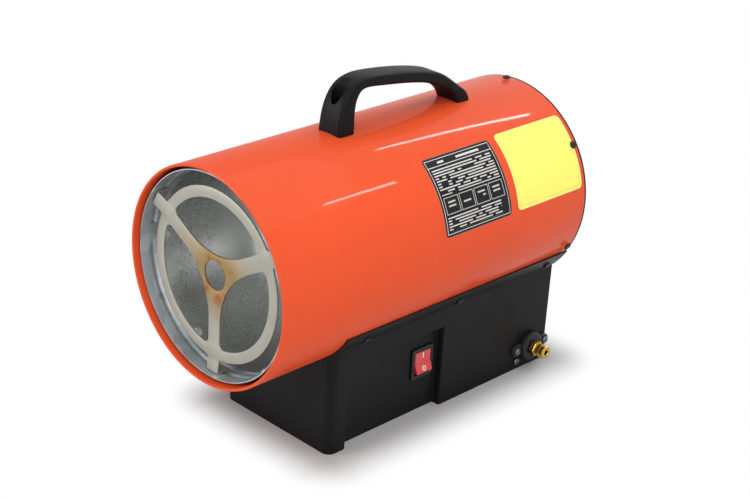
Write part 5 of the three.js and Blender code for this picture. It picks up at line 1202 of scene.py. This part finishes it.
def label(name, angles, bounds, material):
    """A sticker: a strip on the drum with round corners, as thick as vinyl."""
    piece = strip(name, DRUM_RADIUS + 0.00002, *angles, *bounds[:2], steps=12)
    edit(piece)
    mesh = bmesh.from_edit_mesh(piece.data)
    ends = [v.co.copy() for v in mesh.verts if len(v.link_faces) == 1]
    pick("VERT", lambda at, _: any((at - end).length < 1e-6 for end in ends))
    bpy.ops.mesh.bevel(offset=0.0046, segments=8, affect="VERTICES")
    modify(faced_from_axis(piece), "SOLIDIFY", thickness=0.00012, offset=1)
    return keep(piece, material, "paint_red", angle=50)


def label_bounds(front, rear, angles):
    """Places along the drum, and lengths round it from its side."""
    return (DRUM_FRONT + front, DRUM_FRONT + rear, *(math.radians(a) * DRUM_RADIUS for a in angles))


black_ground = rgb(16, 16, 19)
yellow_ground = rgb(252, 243, 118)
print_light = rgb(214, 212, 208)
BLACK_ANGLES = (10.5, 52.8)
YELLOW_ANGLES = (11, 54)
black_bounds = label_bounds(0.1840, 0.268, BLACK_ANGLES)
yellow_bounds = label_bounds(0.277, 0.365, YELLOW_ANGLES)


def frame_line(bounds, inset, width, tint, ground):
    """A thin printed frame inside a label's edge: a filled box with a smaller one over it."""
    front, rear, low, high = bounds
    far = inset + width
    return [(tint, front + inset, rear - inset, low + inset, high - inset, 0),
            (ground, front + far, rear - far, low + far, high - far, 0)]


ROW_PITCH = 0.00245
BOX_PITCH = 0.0187
front, rear, low, high = black_bounds
black_panels = frame_line(black_bounds, 0.0022, 0.0006, print_light, black_ground)
black_panels += [
    (print_light, front + 0.0022, rear - 0.0022, high - 0.0094, high - 0.0087, 0),
    (print_light, front + 0.016, rear - 0.016, high - 0.0077, high - 0.0037, 0.0045),
    (print_light, front + 0.0050, rear - 0.0060, high - 0.0345, high - 0.0110, ROW_PITCH),
]
for index in range(4):
    left = front + 0.0050 + BOX_PITCH * index
    black_panels += [
        (print_light, left, left + 0.0172, low + 0.0190, low + 0.0335, 0),
        (black_ground, left + 0.0005, left + 0.0167, low + 0.0195, low + 0.0330, 0),
        (rgb(196, 192, 186), left + 0.0040, left + 0.0130, low + 0.0240, low + 0.0308, 0.0034),
    ]
black_panels += [(print_light, front + 0.0050, rear - 0.0120, low + 0.0042, low + 0.0172, ROW_PITCH)]
label("black_label", BLACK_ANGLES, black_bounds, label_material(
    "black_label_print", black_ground, black_ground, rgb(120, 112, 108), black_bounds, black_panels))
yellow_panels = frame_line(yellow_bounds, 0.0030, 0.0003, rgb(212, 196, 70), yellow_ground)
label("yellow_label", YELLOW_ANGLES, yellow_bounds, label_material(
    "yellow_label_print", yellow_ground, yellow_ground, rgb(250, 246, 196), yellow_bounds, yellow_panels))

# ------------------------------------------------------------------ floor, light and camera
# A pale grey floor with a painted shadow round the base that runs to white, broad soft lights from the right,
# the front and above, and two narrow strips behind that draw the bright streaks along the drum. The camera
# stands as in the photograph.
SHADOW_REACH = 0.055  # how far the painted shadow round the base reaches, from the base's foot to where the floor is white


def shown_rays(tree):
    """1 for the rays that show a white surrounding: the camera's own, and those seen in metal and glass."""
    rays = node(tree, "LightPath").outputs
    looks = maths(tree, "MAXIMUM", rays["Is Camera Ray"], rays["Is Glossy Ray"])
    return maths(tree, "MAXIMUM", looks, rays["Is Transmission Ray"])


def floor_material():
    """Matt grey paper with the faintest unevenness round the base. It takes the heater's rendered shadow, and
    its grey, darker than the white floor beyond, is a painted shadow that runs to white with distance from
    the base's foot.
    """
    # the paper's grey, darker than the white beyond, is painted shadow round the base
    material = finish_material(
        "floor_paper_painted_shadow", rgb(186, 186, 186), rgb(186, 186, 186), rgb(182, 182, 182), 0.9,
        coarse=2.0, fine=60.0, bump=0.02, spread=0.006, wear=0.0, dust=0.0, specular=0.1)
    tree = material.node_tree
    aside = vector_maths(tree, "SUBTRACT", object_place(tree), (0, (BASE_FRONT + BASE_REAR) / 2, 0))
    half = (BASE_HALF, (BASE_REAR - BASE_FRONT) / 2, 0)
    beyond = vector_maths(tree, "SUBTRACT", vector_maths(tree, "ABSOLUTE", aside), half)
    distance = vector_maths(tree, "LENGTH", vector_maths(tree, "MAXIMUM", beyond))
    # painted shadow: near the base's foot the floor shows the grey paper, and with distance from it the floor
    # turns to white
    far = node(tree, "MapRange", {"Value": distance, "From Min": 0.0, "From Max": SHADOW_REACH},
               interpolation_type="SMOOTHSTEP").outputs["Result"]
    white = node(tree, "Emission", {"Color": (1, 1, 1, 1), "Strength": 1.0}).outputs[0]
    painted_shadow_paper = tree.nodes["Principled BSDF"].outputs[0]
    white_past_painted_shadow = times(tree, far, shown_rays(tree))
    both = node(tree, "MixShader", {0: white_past_painted_shadow, 1: painted_shadow_paper, 2: white}).outputs[0]
    tree.links.new(both, tree.nodes["Material Output"].inputs["Surface"])
    return material


bpy.ops.object.select_all(action="DESELECT")
bpy.ops.mesh.primitive_plane_add(size=12, location=(0, 0, -0.0002))
floor = settle()
floor.name = "floor_sheet"
floor.data.materials.append(floor_material())

world = bpy.data.worlds.new("studio")
bpy.context.scene.world = world
world.use_nodes = True
sky = world.node_tree
sky.nodes.clear()
seen = shown_rays(sky)
plain = node(sky, "Background", {"Color": (1, 1, 1, 1), "Strength": 1.0}).outputs[0]
direction = node(sky, "TexCoord").outputs["Generated"]
facing = vector_maths(sky, "DOT_PRODUCT", direction, (0.62, -0.70, 0.35))
strength = ramp(sky, facing, -0.6, 0.8, 0.10, 0.55)
lighting = node(sky, "Background", {"Color": rgb(250, 250, 252), "Strength": strength}).outputs[0]
both = node(sky, "MixShader", {0: seen, 1: lighting, 2: plain}).outputs[0]
node(sky, "OutputWorld", {"Surface": both})


def soft_light(name, at, towards, width, height, power, across=(0, 0, 0)):
    """An area light aimed at a point. Its width lies along a given direction, or level."""
    light = bpy.data.lights.new(name, "AREA")
    light.shape = "RECTANGLE"
    light.size = width
    light.size_y = height
    light.energy = power
    made = bpy.data.objects.new(name, light)
    bpy.context.scene.collection.objects.link(made)
    away = (Vector(at) - Vector(towards)).normalized()
    side = Vector(across) if Vector(across).length else Vector((0, 0, 1)).cross(away)
    side = (side - away * side.dot(away)).normalized()
    turn = Matrix((side, away.cross(side), away)).transposed().to_4x4()
    made.matrix_world = Matrix.Translation(Vector(at)) @ turn


soft_light("key", (1.55, -0.75, 0.95), (0, 0, 0.15), 1.8, 1.5, 20.5)
soft_light("front", (-0.85, -1.5, 0.55), (0, -0.1, 0.16), 0.7, 0.7, 13)
soft_light("overhead", (0.1, 0.1, 2.2), (0, 0, 0.1), 2.6, 2.2, 17, across=(1, 0, 0))
soft_light("long_streak", (-0.20, 1.40, 1.34), (0.039, 0.16, 0.255), 0.05, 0.8, 5.0,
           across=(0.976, 0, 0.218))
soft_light("short_streak", (0.667, 0.71, 1.315), (0.066, -0.215, 0.236), 0.04, 0.36, 1.9,
           across=(0.674, 0, -0.375))

# the camera's place and angles, worked out from the photograph's perspective
azimuth = math.radians(43.47)
elevation = math.radians(24.62)
roll = math.radians(3.54)
back = Vector((math.sin(azimuth) * math.cos(elevation), -math.cos(azimuth) * math.cos(elevation),
               math.sin(elevation)))
level = Vector((math.cos(azimuth), math.sin(azimuth), 0))
upward = back.cross(level)
right = level * math.cos(roll) + upward * math.sin(roll)
up = upward * math.cos(roll) - level * math.sin(roll)
camera = bpy.data.objects.new("camera", bpy.data.cameras.new("camera"))
bpy.context.scene.collection.objects.link(camera)
camera.matrix_world = Matrix((
    (right.x, up.x, back.x, 0.93297),
    (right.y, up.y, back.y, -0.97374),
    (right.z, up.z, back.z, 0.75859),
    (0, 0, 0, 1),
))
camera.data.sensor_width = 36
camera.data.lens = 80.74
camera.data.clip_start = 0.01
bpy.context.scene.camera = camera
bpy.context.scene.view_settings.view_transform = "Standard"
